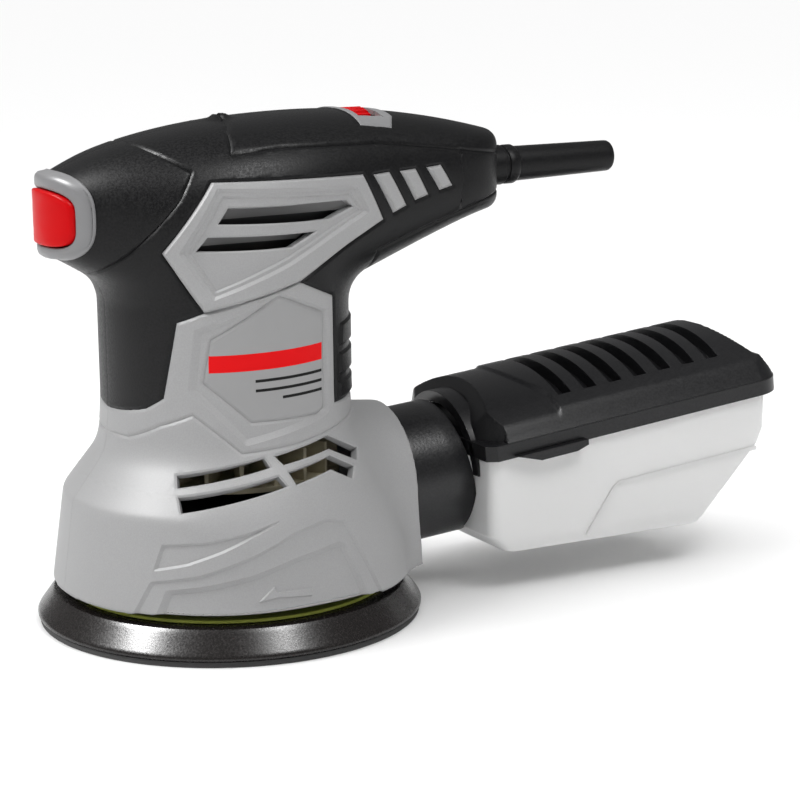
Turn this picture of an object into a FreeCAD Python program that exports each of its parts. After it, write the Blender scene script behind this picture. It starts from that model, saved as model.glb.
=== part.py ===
import FreeCAD, Part

import math
import os

import Sketcher
from FreeCAD import Placement, Rotation, Vector

# Random-orbit palm sander, millimetres, +Z up.
# Origin: the motor axis where it meets the sanding face. -X is the nose, +X the cord end.
# Left is the -Y side and right is the +Y side.

document = FreeCAD.newDocument("OrbitalSander")
sheet = document.addObject("Spreadsheet::Sheet", "Dims")

SIZES = {
    # sanding pad
    "pad_radius": 62.5, "pad_shoulder": 57.0, "pad_height": 10.7, "face_radius": 61.8,
    "face_thickness": 1.7, "rim_height": 2.6, "plate_radius": 54.5, "plate_thickness": 1.2,
    "pad_centre": -1.25, "dust_hole": 4.5, "dust_hole_circle": 40.0,
    # skirt and neck
    "skirt_low": 13.2, "skirt_low_radius": 58.3, "skirt_crease": 44.0,
    "skirt_crease_radius": 54.0, "skirt_top": 60.0, "skirt_top_radius": 41.2,
    "skirt_wall": 2.6, "neck_radius": 40.0, "neck_centre": -1.2, "dome_top": 158.0,
    # skins over the main housing
    "skin": 2.0, "skin_gap": 0.1, "wall": 4.6, "seam": 0.05, "groove": 0.25,
    "insert_depth": 3.4,
    # motor line
    "shaft_radius": 4.0, "shaft_low": 33.0, "shaft_top": 132.0,
    "core_low": 68.0, "core_top": 98.0, "armature_radius": 22.0, "stator_bore": 22.6,
    "stator_radius": 33.0, "commutator_radius": 10.5, "commutator_low": 106.0,
    "commutator_top": 119.0, "fan_low": 47.0, "fan_top": 59.0, "fan_radius": 35.5,
    "carrier_radius": 19.0, "carrier_low": 21.0, "carrier_top": 35.0,
    "orbit_bearing_radius": 14.0, "spindle_radius": 6.0,
    # dust outlet and box
    "outlet_face": 55.0, "outlet_tilt": 5.0, "outlet_x": 70.0, "outlet_z": 38.0,
    "tube_radius": 23.2, "tube_wall": 1.8, "collar_radius": 26.6, "bore_gap": 0.6,
    "box_front": 77.3, "box_rim_z": 46.0, "box_tilt": 5.9, "lid_length": 122.0,
    "lid_half": 35.0, "rim_depth": 5.0, "crease_height": 13.0, "crease_half": 29.0,
    "ridge_height": 21.8, "slot_first": 35.5, "slot_pitch": 10.3, "slot_width": 5.2,
    "box_half": 33.5, "box_low": 14.0, "box_wall": 1.8, "bead_radius": 1.2,
    # controls and cord guard
    "cap_half": 15.4, "cap_height": 16.6, "cap_z": 133.0,
    "pivot_radius": 1.2, "pivot_span": 10.0, "pivot_x": -56.0,
    "nose_bow_centre": -38.0, "frame_bow": 23.0, "cap_bow": 23.9,
    "front_bow_centre": -22.6, "front_bow": 33.8,
    "dial_radius": 13.5, "dial_x": 45.0, "dial_z": 148.0, "dial_width": 8.4,
    "guard_root": 6.7, "guard_tip": 5.25, "guard_bore": 3.4, "guard_start": 99.4,
    "guard_end": 144.4, "guard_z": 139.6, "guard_tilt": 1.1,
}
for row, (alias, amount) in enumerate(SIZES.items(), start=1):
    sheet.set(f"A{row}", alias)
    sheet.set(f"B{row}", str(amount))
    sheet.setAlias(f"B{row}", alias)
document.recompute()


def size(alias):
    """The number that the sheet holds under this alias."""
    return float(sheet.get(alias))


def term(spec):
    """A length as (value, expression): a number, an alias, or an (alias, offset) pair."""
    if isinstance(spec, str):
        return size(spec), f"Dims.{spec}"
    if isinstance(spec, tuple):
        alias, offset = spec
        return size(alias) + offset, f"Dims.{alias} + {offset}"
    return float(spec), None


def bind(thing, prop, spec):
    """Set a property and bind it to the sheet where the length comes from there."""
    value, expression = term(spec)
    if expression:
        thing.setExpression(prop, expression)
    elif not prop.startswith("."):
        setattr(thing, prop, value)


def put(thing, x=0.0, y=0.0, z=0.0, rotation=None):
    """Place an object, binding each coordinate that comes from the sheet."""
    values = [term(spec)[0] for spec in (x, y, z)]
    thing.Placement = Placement(Vector(*values), rotation or Rotation())
    for axis, spec in zip("xyz", (x, y, z)):
        expression = term(spec)[1]
        if expression:
            thing.setExpression(f".Placement.Base.{axis}", expression)
    return thing


# ---------------------------------------------------------------- document helpers

nodes = []


def named(thing, label):
    """Register a finished sub-part under the name of its file."""
    thing.Label = label
    nodes.append(thing)
    return thing


def origin_plane(body, role):
    """The body's own origin plane with this role."""
    return next(item for item in body.Origin.OriginFeatures if item.Role == role)


def outline_sketch(body, role, points):
    """A closed outline in an origin plane, each corner dimensioned from the sheet."""
    sketch = body.newObject("Sketcher::SketchObject", "Outline")
    sketch.AttachmentSupport = (origin_plane(body, role), "")
    sketch.MapMode = "FlatFace"
    corners = [Vector(term(first)[0], term(second)[0], 0) for first, second in points]
    count = len(corners)
    for index in range(count):
        sketch.addGeometry(Part.LineSegment(corners[index], corners[(index + 1) % count]))
    for index in range(count):
        following = (index + 1) % count
        sketch.addConstraint(Sketcher.Constraint("Coincident", index, 2, following, 1))
    for index, (first, second) in enumerate(points):
        for kind, spec in (("DistanceX", first), ("DistanceY", second)):
            value, expression = term(spec)
            if abs(value) < 1e-6:
                axis = -2 if kind == "DistanceX" else -1
                sketch.addConstraint(Sketcher.Constraint("PointOnObject", index, 1, axis))
                continue
            number = sketch.addConstraint(
                Sketcher.Constraint(kind, -1, 1, index, 1, value))
            if expression:
                sketch.setExpression(f"Constraints[{number}]", expression)
    return sketch


def turned(label, points):
    """A body revolved about Z from (radius, height) corners."""
    body = document.addObject("PartDesign::Body", label)
    sketch = outline_sketch(body, "XZ_Plane", points)
    revolution = body.newObject("PartDesign::Revolution", "Turning")
    revolution.Profile = sketch
    revolution.ReferenceAxis = (sketch, ["V_Axis"])
    revolution.Angle = 360.0
    sketch.Visibility = False
    return body


def primitive_cylinder(radius, height, x=0.0, y=0.0, z=0.0, rotation=None):
    """A Part cylinder standing along its own Z."""
    thing = document.addObject("Part::Cylinder", "Round")
    bind(thing, "Radius", radius)
    bind(thing, "Height", height)
    return put(thing, x, y, z, rotation)


def primitive_box(length, width, height, x, y, z, rotation=None):
    """A Part box, centred on x and y, with its floor at z."""
    thing = document.addObject("Part::Box", "Block")
    bind(thing, "Length", length)
    bind(thing, "Width", width)
    bind(thing, "Height", height)
    return put(thing, x - length / 2, y - width / 2, z, rotation)


def cut(base, *tools):
    """Part booleans: the base with each tool taken away."""
    for tool in tools:
        result = document.addObject("Part::Cut", "Cut")
        result.Base = base
        result.Tool = tool
        base = result
    return base


def fuse(*shapes):
    """One Part fusion of all the given objects."""
    result = document.addObject("Part::MultiFuse", "Fusion")
    result.Shapes = list(shapes)
    return result


def fixed_shape(label, shape):
    """A sub-part whose shape is worked out in code from the sheet."""
    thing = document.addObject("Part::Feature", label)
    thing.Shape = shape
    return named(thing, label)


def ring_solid(outer, inner, low, high, x=0.0):
    """A plain ring or disc about a vertical axis at x."""
    solid = Part.makeCylinder(outer, high - low, Vector(x, 0, low))
    if inner > 0:
        solid = solid.cut(Part.makeCylinder(inner, high - low, Vector(x, 0, low)))
    return solid


# ---------------------------------------------------------------- outer form of the body

# Arch from the nose to the handle end: x, underside, top and half width of each section.
ARCH = (
    (-57.0, 120.0, 146.0, 15.0), (-46.0, 113.5, 150.8, 21.5), (-30.0, 104.0, 155.4, 29.5),
    (-10.0, 99.0, 158.9, 35.0), (15.0, 100.0, 161.0, 35.5), (35.0, 106.0, 161.3, 31.5),
    (55.0, 113.5, 160.0, 27.0), (75.0, 121.0, 157.0, 23.5), (90.0, 126.0, 153.3, 20.5),
    (99.0, 131.0, 148.0, 16.0),
)
ROUNDNESS = 2.5
SECTION_CORNERS = 20
HALF_SPAN = 80.0


def section_wire(x, underside, top, half, roundness=ROUNDNESS, corners_round=SECTION_CORNERS):
    """A rounded rectangular outline in the plane at x."""
    middle = (underside + top) / 2
    rise = (top - underside) / 2
    corners = []
    for step in range(corners_round):
        angle = 2 * math.pi * step / corners_round
        side, up = math.sin(angle), math.cos(angle)
        corners.append(Vector(
            x,
            half * math.copysign(abs(side) ** (2 / roundness), side),
            middle + rise * math.copysign(abs(up) ** (2 / roundness), up)))
    curve = Part.BSplineCurve()
    curve.interpolate(Points=corners, PeriodicFlag=True)
    return Part.Wire(curve.toShape())


def arch_solid(inset):
    """The nose and handle as one lofted solid, drawn in by an inset."""
    wires = []
    for x, underside, top, half in ARCH:
        if x == ARCH[-1][0]:
            x -= inset
        wires.append(section_wire(x, underside + inset, top - inset, half - inset))
    return Part.makeLoft(wires, True)


def neck_solid(inset):
    """The motor neck, a round column that ends in a dome inside the arch."""
    radius = size("neck_radius")
    flare = size("skirt_top_radius")
    low = size("skirt_top")
    crown = size("dome_top")
    profile = (
        (flare, low), (radius + 0.4, low + 8), (radius, low + 15), (radius, crown - 50),
        (radius - 1.2, crown - 40), (radius - 4, crown - 28), (radius - 10, crown - 16),
        (radius - 20, crown - 6),
    )
    corners = [Vector(r - inset, 0, z) for r, z in profile]
    ceiling = crown - 6 - inset
    corners[-1].z = ceiling
    axis_points = [Vector(0, 0, ceiling), Vector(0, 0, low)]
    wire = Part.makePolygon(corners + axis_points + corners[:1])
    solid = Part.Face(wire).revolve(Vector(), Vector(0, 0, 1), 360)
    solid.translate(Vector(size("neck_centre"), 0, 0))
    return solid


def body_solid(inset):
    """The whole upper body drawn in by an inset."""
    return arch_solid(inset).fuse(neck_solid(inset))


def side_face(points):
    """A flat face in the XZ plane from (x, z) corners."""
    return Part.Face(Part.makePolygon([Vector(x, 0, z) for x, z in points + points[:1]]))


def side_prism(face, side):
    """A side face carried outwards from the seam, to the left (-1) or to the right (+1)."""
    return face.extrude(Vector(0, side * HALF_SPAN, 0))


def grown(face, amount):
    """A face with its edge moved outwards, or inwards if negative."""
    return Part.makeCompound([one.makeOffset2D(amount, join=2) for one in face.Faces])


# Outlines on the side of the body, (x, z).
INSERT = [(-17.4, 143.7), (34.0, 143.1), (41.7, 128.2), (7.9, 112.3), (-22.2, 104.6),
          (-32.9, 122.8)]
INSERT_STEP = [(-16.4, 141.8), (30.4, 139.6), (35.2, 131.6), (-19.6, 107.5), (-27.8, 122.8)]
UPPER_SLOT = [(-13.4, 136.2), (27.5, 135.6), (30.1, 133.4), (21.1, 130.4), (-17.0, 131.4)]
LOWER_SLOT = [(-20.4, 127.4), (15.4, 127.0), (6.1, 123.1), (-23.9, 123.1)]
NECK_PANEL = [(-29.2, 101.4), (-22.2, 104.6), (7.9, 112.3), (22.0, 106.2), (22.1, 72.2),
              (60.0, 72.2), (60.0, 50.0), (-60.0, 50.0), (-60.0, 71.5), (-42.0, 71.5),
              (-36.5, 74.0), (-32.7, 77.7)]
LABEL = [(0.2, 109.0), (18.0, 101.8), (17.4, 71.5), (14.6, 70.3), (-9.7, 70.3),
         (-23.3, 82.8), (-20.9, 96.2)]
NOSE = [(-70.0, 165.0), (-34.5, 165.0), (-34.0, 154.6), (-22.3, 146.7), (-27.3, 138.4),
        (-33.1, 131.6), (-43.0, 121.0), (-48.0, 116.0), (-48.0, 104.0), (-70.0, 104.0)]
TOP_GRIP = [(-1.4, 170.0), (-1.4, 160.2), (-6.2, 157.4), (-9.1, 151.3), (7.2, 152.7),
            (42.3, 152.0), (65.9, 149.2), (96.0, 144.8), (96.0, 170.0)]
UNDER_GRIP = [(41.5, 100.0), (41.5, 118.2), (62.2, 124.3), (87.2, 131.3), (95.0, 133.4),
              (95.0, 100.0)]
STRIPES = (
    [(38.1, 142.7), (44.4, 143.1), (51.0, 131.9), (45.7, 129.9)],
    [(48.7, 143.0), (54.9, 143.3), (59.8, 134.6), (54.5, 133.2)],
    [(59.3, 143.4), (65.0, 143.8), (69.5, 136.8), (64.3, 135.7)],
)
LOWER_SHELL = [(-80.0, 64.3), (-40.0, 64.3), (-33.6, 69.2), (-26.0, 73.0), (-13.3, 61.2),
               (5.0, 62.6), (32.8, 66.4), (80.0, 66.4), (80.0, 5.0), (-80.0, 5.0)]
VENTS = (
    [(-31.9, 55.2), (-7.0, 59.6), (-5.6, 56.9), (-32.9, 51.9)],
    [(-3.4, 59.8), (17.3, 63.0), (30.2, 56.6), (27.9, 53.8), (16.7, 59.2), (-1.2, 57.2)],
    [(-33.5, 49.4), (-3.9, 54.3), (-1.9, 51.3), (-34.2, 45.4)],
    [(-0.2, 55.1), (16.5, 57.4), (25.6, 52.6), (23.3, 49.5), (15.2, 53.7), (1.4, 51.4)],
)
SCREW_PLACES = ((-34.0, 112.0), (34.0, 112.0), (66.0, 134.0))
BOSS_RADIUS = 4.2
SCREW_RADIUS = 1.6
SCREW_HEAD = 3.0
FLANGE_RADIUS = 9.0
RIB_RADIUS = 36.5


def half_space(side):
    """Everything on one side of the seam plane, less half the seam gap."""
    gap = size("seam")
    block = Part.makeBox(400, 200, 300, Vector(-150, gap, -20))
    return block if side > 0 else block.mirror(Vector(), Vector(0, 1, 0))


def union(shapes):
    """All the given shapes fused into one."""
    result = shapes[0]
    for shape in shapes[1:]:
        result = result.fuse(shape)
    return result


def side_cylinder(radius, x, z, start, length):
    """A round pin or bore across the body, along +Y."""
    return Part.makeCylinder(radius, length, Vector(x, start, z), Vector(0, 1, 0))


# ---------------------------------------------------------------- upper housing and skins

def upper_body():
    """The two housing halves, their skins, inserts, stripes and labels."""
    skin = size("skin")
    outer = body_solid(0.0)
    proud = body_solid(-0.5)
    under_skin = body_solid(skin)
    skin_floor = body_solid(skin - size("skin_gap"))
    cavity = body_solid(size("wall"))
    grey = side_face(INSERT).fuse(side_face(NECK_PANEL)).removeSplitter()
    groove = size("groove")
    front_cut = Part.makeBox(60, 100, 80, Vector(-90, -50, 90)).cut(front_bow(0.0))
    skin_shell = outer.cut(skin_floor).cut(front_cut)
    lower_shell = side_face(LOWER_SHELL)
    bottom = Part.makeBox(200, 200, 40, Vector(-100, -100, 20))
    thin_label = neck_solid(1.0).cut(neck_solid(1.6))
    dial_window = Part.makeBox(
        size("dial_width") + 1.2, 24.0, 30,
        Vector(size("dial_x") - size("dial_width") / 2 - 0.6, -12.0, size("dial_z") - 4))
    guard_hole = Part.makeCylinder(
        size("guard_root") + 0.15, 30, Vector(85, 0, size("guard_z") - 0.28),
        Vector(1, 0, math.tan(math.radians(size("guard_tilt")))))
    flange_pocket = Part.makeCylinder(
        FLANGE_RADIUS + 0.2, 4.6,
        Vector(size("guard_start") - 10.3, 0, size("guard_z") - 0.2), Vector(1, 0, 0))
    guard_hole = guard_hole.fuse(flange_pocket)
    ribs = union([
        ring_solid(RIB_RADIUS, size("stator_radius") + 0.05, 70.0, 74.0),
        ring_solid(RIB_RADIUS, size("stator_radius") + 0.05, 92.0, 96.0),
        ring_solid(37.0, 9.02, 125.0, 129.0),
    ]).common(body_solid(size("insert_depth") + 0.2))
    left = half_space(-1)
    insert_face = side_face(INSERT)
    step_face = side_face(INSERT_STEP)
    label_face = side_face(LABEL)

    shell = outer.common(side_prism(grey.cut(grown(insert_face, groove)), -1))
    shell = under_skin.fuse(shell).cut(cavity).cut(bottom).common(left)
    shell = shell.cut(side_prism(grown(side_face(LOWER_SHELL), size("seam")), -1))
    shell = shell.cut(front_cut).cut(dial_window).cut(guard_hole)
    shell = shell.cut(side_prism(grown(step_face, 1.0), -1))
    shell = shell.cut(outer.cut(neck_solid(1.65)).common(side_prism(label_face, -1)))
    shell = shell.fuse(ribs.common(left))
    bosses = [side_cylinder(BOSS_RADIUS, x, z, -HALF_SPAN, HALF_SPAN) for x, z in SCREW_PLACES]
    shell = shell.fuse(union(bosses).common(under_skin).common(left))
    pilot_holes = union([side_cylinder(SCREW_RADIUS + 0.05, x, z, -14.0, 70.0)
                         for x, z in SCREW_PLACES])
    head_holes = union([side_cylinder(SCREW_HEAD + 0.2, x, z, 18.0, 60.0)
                        for x, z in SCREW_PLACES])
    fixed_shape("housing_left", shell.cut(pilot_holes))
    fixed_shape("housing_right", mirrored(shell).cut(pilot_holes).cut(head_holes))

    cover = skin_shell.common(left)
    for area in (side_face(NOSE), side_face(TOP_GRIP), side_face(UNDER_GRIP), grey):
        cover = cover.cut(side_prism(grown(area, groove), -1))
    for outline in STRIPES:
        cover = cover.cut(side_prism(grown(side_face(outline), 0.15), -1))
    cover = cover.fuse(neck_ridges().common(left))
    cover = cover.cut(guard_hole)
    fixed_shape("handle_cover_left", cover)
    fixed_shape("handle_cover_right", mirrored(cover).cut(pilot_holes).cut(head_holes))

    nose = skin_shell.common(left).common(side_prism(side_face(NOSE), -1))
    insert = proud.cut(body_solid(size("insert_depth"))).common(side_prism(insert_face, -1))
    hem = insert_face.cut(step_face)
    insert = insert.cut(body_solid(skin - 0.05).common(side_prism(hem, -1)))
    insert = insert.cut(proud.cut(body_solid(0.6)).common(side_prism(step_face, -1)))
    for outline in (UPPER_SLOT, LOWER_SLOT):
        insert = insert.cut(side_prism(side_face(outline), -1))
    label = thin_label.common(side_prism(grown(label_face, -0.2), -1))
    for name, shape in (("nose_grip", nose), ("vent_insert", insert), ("label", label)):
        fixed_shape(f"{name}_left", shape)
        fixed_shape(f"{name}_right", mirrored(shape))
    stripe_shell = body_solid(-0.15).cut(skin_floor)
    for number, outline in enumerate(STRIPES, start=1):
        stripe = stripe_shell.common(side_prism(side_face(outline), -1))
        fixed_shape(f"handle_stripe_left_{number}", stripe)
        fixed_shape(f"handle_stripe_right_{number}", mirrored(stripe))

    top_area = union([side_prism(side_face(TOP_GRIP), side) for side in (-1, 1)])
    fixed_shape("top_grip", skin_shell.common(top_area).cut(dial_bezel_prism(groove)))
    under_area = union([side_prism(side_face(UNDER_GRIP), side) for side in (-1, 1)])
    fixed_shape("under_grip", skin_shell.common(under_area))
    fixed_shape("dial_bezel",
                proud.cut(skin_floor).common(dial_bezel_prism(0.0)).cut(dial_window))


def front_bow(growth):
    """The upright cylinder whose face is the bowed front of the nose."""
    return Part.makeCylinder(size("front_bow") + growth, 100.0,
                             Vector(size("front_bow_centre"), 0, 80))


def mirrored(shape):
    """The same piece on the other side of the seam."""
    return shape.mirror(Vector(), Vector(0, 1, 0))


def neck_ridges():
    """Three raised bands round the back of the neck."""
    radius = size("neck_radius")
    band = ring_solid(radius + 0.9, radius - 1.0, 72.6, 97.5)
    for low in (80.2, 88.8):
        band = band.cut(ring_solid(radius + 5, radius - 5, low, low + 1.4))
    band.translate(Vector(size("neck_centre"), 0, 0))
    return band.common(Part.makeBox(60, 100, 60, Vector(25.0, -50, 60)))


def dial_bezel_prism(growth):
    """The six-sided plan outline of the speed dial's frame, as a tall prism."""
    x = size("dial_x")
    corners = [(x - 8.4, 10.0), (x - 6.8, 20.0), (x + 3.4, 20.0), (x + 8.4, 10.0),
               (x + 8.4, -10.0), (x + 3.4, -20.0), (x - 6.8, -20.0), (x - 8.4, -10.0)]
    wire = Part.makePolygon([Vector(a, b, 140) for a, b in corners + corners[:1]])
    face = Part.Face(wire)
    if growth:
        face = grown(face, growth)
    return face.extrude(Vector(0, 0, 40))


upper_body()


# ---------------------------------------------------------------- lower shell and dust outlet

def outlet_point(distance):
    """A point on the outlet's tilted axis, measured from its reference point."""
    tilt = math.radians(size("outlet_tilt"))
    return Vector(size("outlet_x") + distance * math.cos(tilt), 0,
                  size("outlet_z") + distance * math.sin(tilt))


def outlet_axis():
    """The direction in which the dust box pulls off."""
    tilt = math.radians(size("outlet_tilt"))
    return Vector(math.cos(tilt), 0, math.sin(tilt))


def outlet_cylinder(radius, start, end):
    """A cylinder along the outlet axis."""
    return Part.makeCylinder(radius, end - start, outlet_point(start), outlet_axis())


def skirt_solid(inset, low):
    """The round skirt and shoulder, drawn in by an inset."""
    corners = [
        (size("skirt_low_radius") - inset, low),
        (size("skirt_crease_radius") - inset, size("skirt_crease") - inset * 0.5),
        (size("skirt_top_radius") + 0.2 - inset, size("skirt_top") - inset * 0.6),
        (size("neck_radius") + 0.4 - inset, size("skirt_top") + 8),
        (size("neck_radius") - inset, size("skirt_top") + 15),
    ]
    wire = Part.makePolygon([Vector(r, 0, z) for r, z in corners]
                            + [Vector(0, 0, corners[-1][1]), Vector(0, 0, low),
                               Vector(corners[0][0], 0, low)])
    return Part.Face(wire).revolve(Vector(), Vector(0, 0, 1), 360)


def collar_prism(inset, start, end):
    """The arch-shaped outlet collar, drawn in by an inset."""
    radius = size("collar_radius") - inset
    centre = outlet_point(size("outlet_face") - size("outlet_x")).z
    low = size("skirt_low")
    arc = Part.Arc(Vector(start, -radius, centre), Vector(start, 0, centre + radius),
                   Vector(start, radius, centre)).toShape()
    legs = Part.makePolygon([Vector(start, radius, centre), Vector(start, radius + 2, low),
                             Vector(start, -radius - 2, low), Vector(start, -radius, centre)])
    face = Part.Face(Part.Wire([arc] + list(legs.Edges)))
    return face.extrude(Vector(end - start, 0, 0))


# The spigot inside the collar, along the outlet axis from its reference point.
SPIGOT_START = -31.0
SPIGOT_RADIUS = 21.1
SPIGOT_BORE = 19.3
BEYOND = 20.0


def lower_shell():
    """The two skirt halves with fan vents, the collar and the outlet spigot."""
    low = size("skirt_low")
    wall = size("skirt_wall")
    bore = size("tube_radius") + size("bore_gap")
    outer = skirt_solid(0.0, low).fuse(collar_prism(0.0, 12.0, size("outlet_face")))
    hollow = skirt_solid(wall, low - 1)
    shell = outer.cut(hollow.cut(outlet_cylinder(bore + 1.0, SPIGOT_START, BEYOND)))
    shell = shell.cut(outlet_cylinder(bore, SPIGOT_START + 1.5, BEYOND))
    spigot = outlet_cylinder(SPIGOT_RADIUS, SPIGOT_START, -14.0)
    shell = shell.fuse(spigot.common(outer))
    shell = shell.cut(outlet_cylinder(SPIGOT_BORE, -40.0, BEYOND))
    ledge = ring_solid(52.2, 49.0, 37.0, 39.0).common(skirt_solid(1.0, low))
    shell = shell.fuse(ledge.cut(outlet_cylinder(bore + 1.0, -40.0, BEYOND)))
    left = shell.common(half_space(-1))
    left = left.common(side_prism(side_face(LOWER_SHELL), -1))
    for outline in VENTS:
        left = left.cut(side_prism(side_face(outline), -1))
    fixed_shape("skirt_left", left)
    fixed_shape("skirt_right", mirrored(left))


# ---------------------------------------------------------------- nose rocker

CAP_ROOM = 0.7


def nose_bow(radius):
    """The upright cylinder to which the front of the cap or its frame is bowed."""
    return Part.makeCylinder(size(radius), 100.0, Vector(size("nose_bow_centre"), 0, 80))


def nose_rocker():
    """The bowed rocker cap with its pivot, and the frame round it."""
    middle = size("cap_z")
    sections = ((-49.0, 118.4, 147.6, 20.2), (-54.0, 118.9, 147.2, 19.6),
                (-58.0, 119.8, 146.2, 18.4), (-62.0, 121.6, 144.4, 16.8))
    frame = Part.makeLoft([section_wire(*section, 3.2, 24) for section in sections], True)
    half = size("cap_half")
    rise = size("cap_height") / 2
    window = Part.makeLoft([
        section_wire(x, middle - rise - CAP_ROOM, middle + rise + CAP_ROOM, half + CAP_ROOM,
                     5.0, 24)
        for x in (-64.0, -46.0)], True)
    frame = frame.common(nose_bow("frame_bow")).cut(front_bow(0.05))
    fixed_shape("rocker_frame", frame.cut(window))
    cap_sections = ((-56.5, 0.88), (-57.6, 1.0), (-59.4, 1.0), (-61.2, 0.94), (-62.4, 0.84))
    cap = Part.makeLoft([
        section_wire(x, middle - rise * scale, middle + rise * scale, half * scale, 5.0, 24)
        for x, scale in cap_sections], True)
    span = size("pivot_span")
    pivot = side_cylinder(size("pivot_radius"), size("pivot_x"), middle, -span, 2 * span)
    fixed_shape("rocker_cap", cap.common(nose_bow("cap_bow")).fuse(pivot))


# ---------------------------------------------------------------- lid and dust box

def tilted_placement():
    """From the lid's own frame to the part's frame."""
    return Placement(Vector(size("box_front"), 0, size("box_rim_z")),
                     Rotation(Vector(0, 1, 0), -size("box_tilt")))


def lid_outline(inset, height, front):
    """The plan outline of the lid: rounded corners and a bowed far end."""
    half = size("lid_half") - inset
    length = size("lid_length") - inset
    corner = 10.0
    bow = 2.0
    points = [Vector(front + inset, -half + 3, height), Vector(front + inset + 3, -half, height),
              Vector(length - bow - corner, -half, height)]
    near = Part.makePolygon(points)
    far = Part.makePolygon([Vector(p.x, -p.y, p.z) for p in reversed(points)])
    turn = 0.3 * corner
    arc_near = Part.Arc(points[2], Vector(length - bow - turn, -half + turn, height),
                        Vector(length - bow, -half + corner, height)).toShape()
    nose = Part.Arc(Vector(length - bow, -half + corner, height), Vector(length, 0, height),
                    Vector(length - bow, half - corner, height)).toShape()
    arc_far = Part.Arc(Vector(length - bow, half - corner, height),
                       Vector(length - bow - turn, half - turn, height),
                       Vector(points[2].x, half, height)).toShape()
    closing = Part.makePolygon([Vector(front + inset, half - 3, height),
                                Vector(front + inset, -half + 3, height)])
    edges = list(near.Edges) + [arc_near, nose, arc_far] + list(far.Edges) + closing.Edges
    return Part.Wire(Part.sortEdges(edges)[0])


def lid_form(inset):
    """Rim, bevel and arched crown of the lid, drawn in by an inset."""
    rim = size("rim_depth")
    crease = size("crease_height")
    ridge = size("ridge_height")
    half = size("crease_half") - inset
    length = size("lid_length")
    band = Part.Face(lid_outline(inset, 0.0, 0.0)).extrude(Vector(0, 0, rim))
    bevel = Part.makeLoft([lid_outline(0.7 + inset, rim, 0.0),
                           lid_outline(size("lid_half") - half, crease - inset, 1.5)], True)
    start, end = 7.5 + inset, length - 7.0 - inset
    arc = Part.Arc(Vector(start, -half, crease - inset - 0.5),
                   Vector(start, 0, ridge - inset), Vector(start, half, crease - inset - 0.5))
    chord = Part.makeLine(Vector(start, half, crease - inset - 0.5),
                          Vector(start, -half, crease - inset - 0.5))
    crown = Part.Face(Part.Wire([arc.toShape(), chord])).extrude(Vector(end - start, 0, 0))
    slope = Part.Face(Part.makePolygon([
        Vector(length - 16 - inset, -60, ridge + 0.1), Vector(length + 10, -60, ridge + 0.1),
        Vector(length + 10, -60, crease - inset), Vector(length - 6 - inset, -60, crease - inset),
        Vector(length - 16 - inset, -60, ridge + 0.1)])).extrude(Vector(0, 120, 0))
    return band.fuse(bevel).fuse(crown.cut(slope))


SLOT_COUNT = 7
SLOT_REACH = 25.5


def dust_lid():
    """The black lid with its seven arched slots and the hood over the tube."""
    wall = 2.0
    shell = lid_form(0.0).cut(lid_form(wall).fuse(
        Part.Face(lid_outline(wall - 0.9, 0.0, 0.0)).extrude(Vector(0, 0, 3.2))))
    width = size("slot_width")
    for number in range(SLOT_COUNT):
        x = size("slot_first") + number * size("slot_pitch")
        slot = Part.makeBox(width, 2 * SLOT_REACH, 20,
                            Vector(x - width / 2, -SLOT_REACH, 13.5))
        shell = shell.cut(slot)
    bead = Part.makeCylinder(size("bead_radius"), 90.0, Vector(14.0, size("lid_half") + 1.0, 0),
                             Vector(1, 0, 0))
    shell = shell.fuse(bead)
    shell.Placement = tilted_placement()
    return shell.cut(outlet_cylinder(size("tube_radius") + 1.6, -30.0, 16.0))


def dust_box_shape():
    """The translucent box: an upright outline carried across, hollow, with its inlet."""
    front = size("box_front") + 1.3
    low = size("box_low")
    tilt = math.tan(math.radians(size("box_tilt")))
    rim = size("box_rim_z")
    end = 191.0

    def block(inset, lift):
        half = size("box_half") - inset
        outline = [(front + inset, rim + lift), (front + inset, low + 5.6 + inset * 0.4),
                   (front + 5.6 + inset * 0.4, low + inset), (164.0, low + inset),
                   (end - 2 - inset, 40.0), (end - inset, 46.0),
                   (end - inset, rim + (end - front) * tilt + lift)]
        prism = Part.Face(Part.makePolygon([Vector(x, -half, z) for x, z in
                                            outline + outline[:1]])).extrude(
                                                Vector(0, 2 * half, 0))
        uprights = [edge for edge in prism.Edges
                    if len(edge.Vertexes) == 2
                    and abs(edge.Vertexes[0].Point.y - edge.Vertexes[1].Point.y) < 0.01
                    and abs(edge.Vertexes[0].Point.x - edge.Vertexes[1].Point.x) < 0.01
                    and edge.Length > 6.5]
        return prism.makeFillet(4.0 - inset, uprights)

    wall = size("box_wall")
    recess = outlet_cylinder(size("tube_radius") + 1.4, -20.0, 15.0)
    around = outlet_cylinder(size("tube_radius") + 1.4 + wall, -20.0, 15.0 + wall)
    body = block(0.0, 0.8).cut(recess)
    body = body.cut(block(wall, 3.0).cut(around))
    flange = outlet_cylinder(size("tube_radius"), 13.4, 16.0)
    body = body.fuse(outlet_cylinder(SPIGOT_RADIUS, -6.0, 16.0).fuse(flange))
    return body.cut(outlet_cylinder(SPIGOT_BORE + 0.1, -10.0, 30.0))


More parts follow.
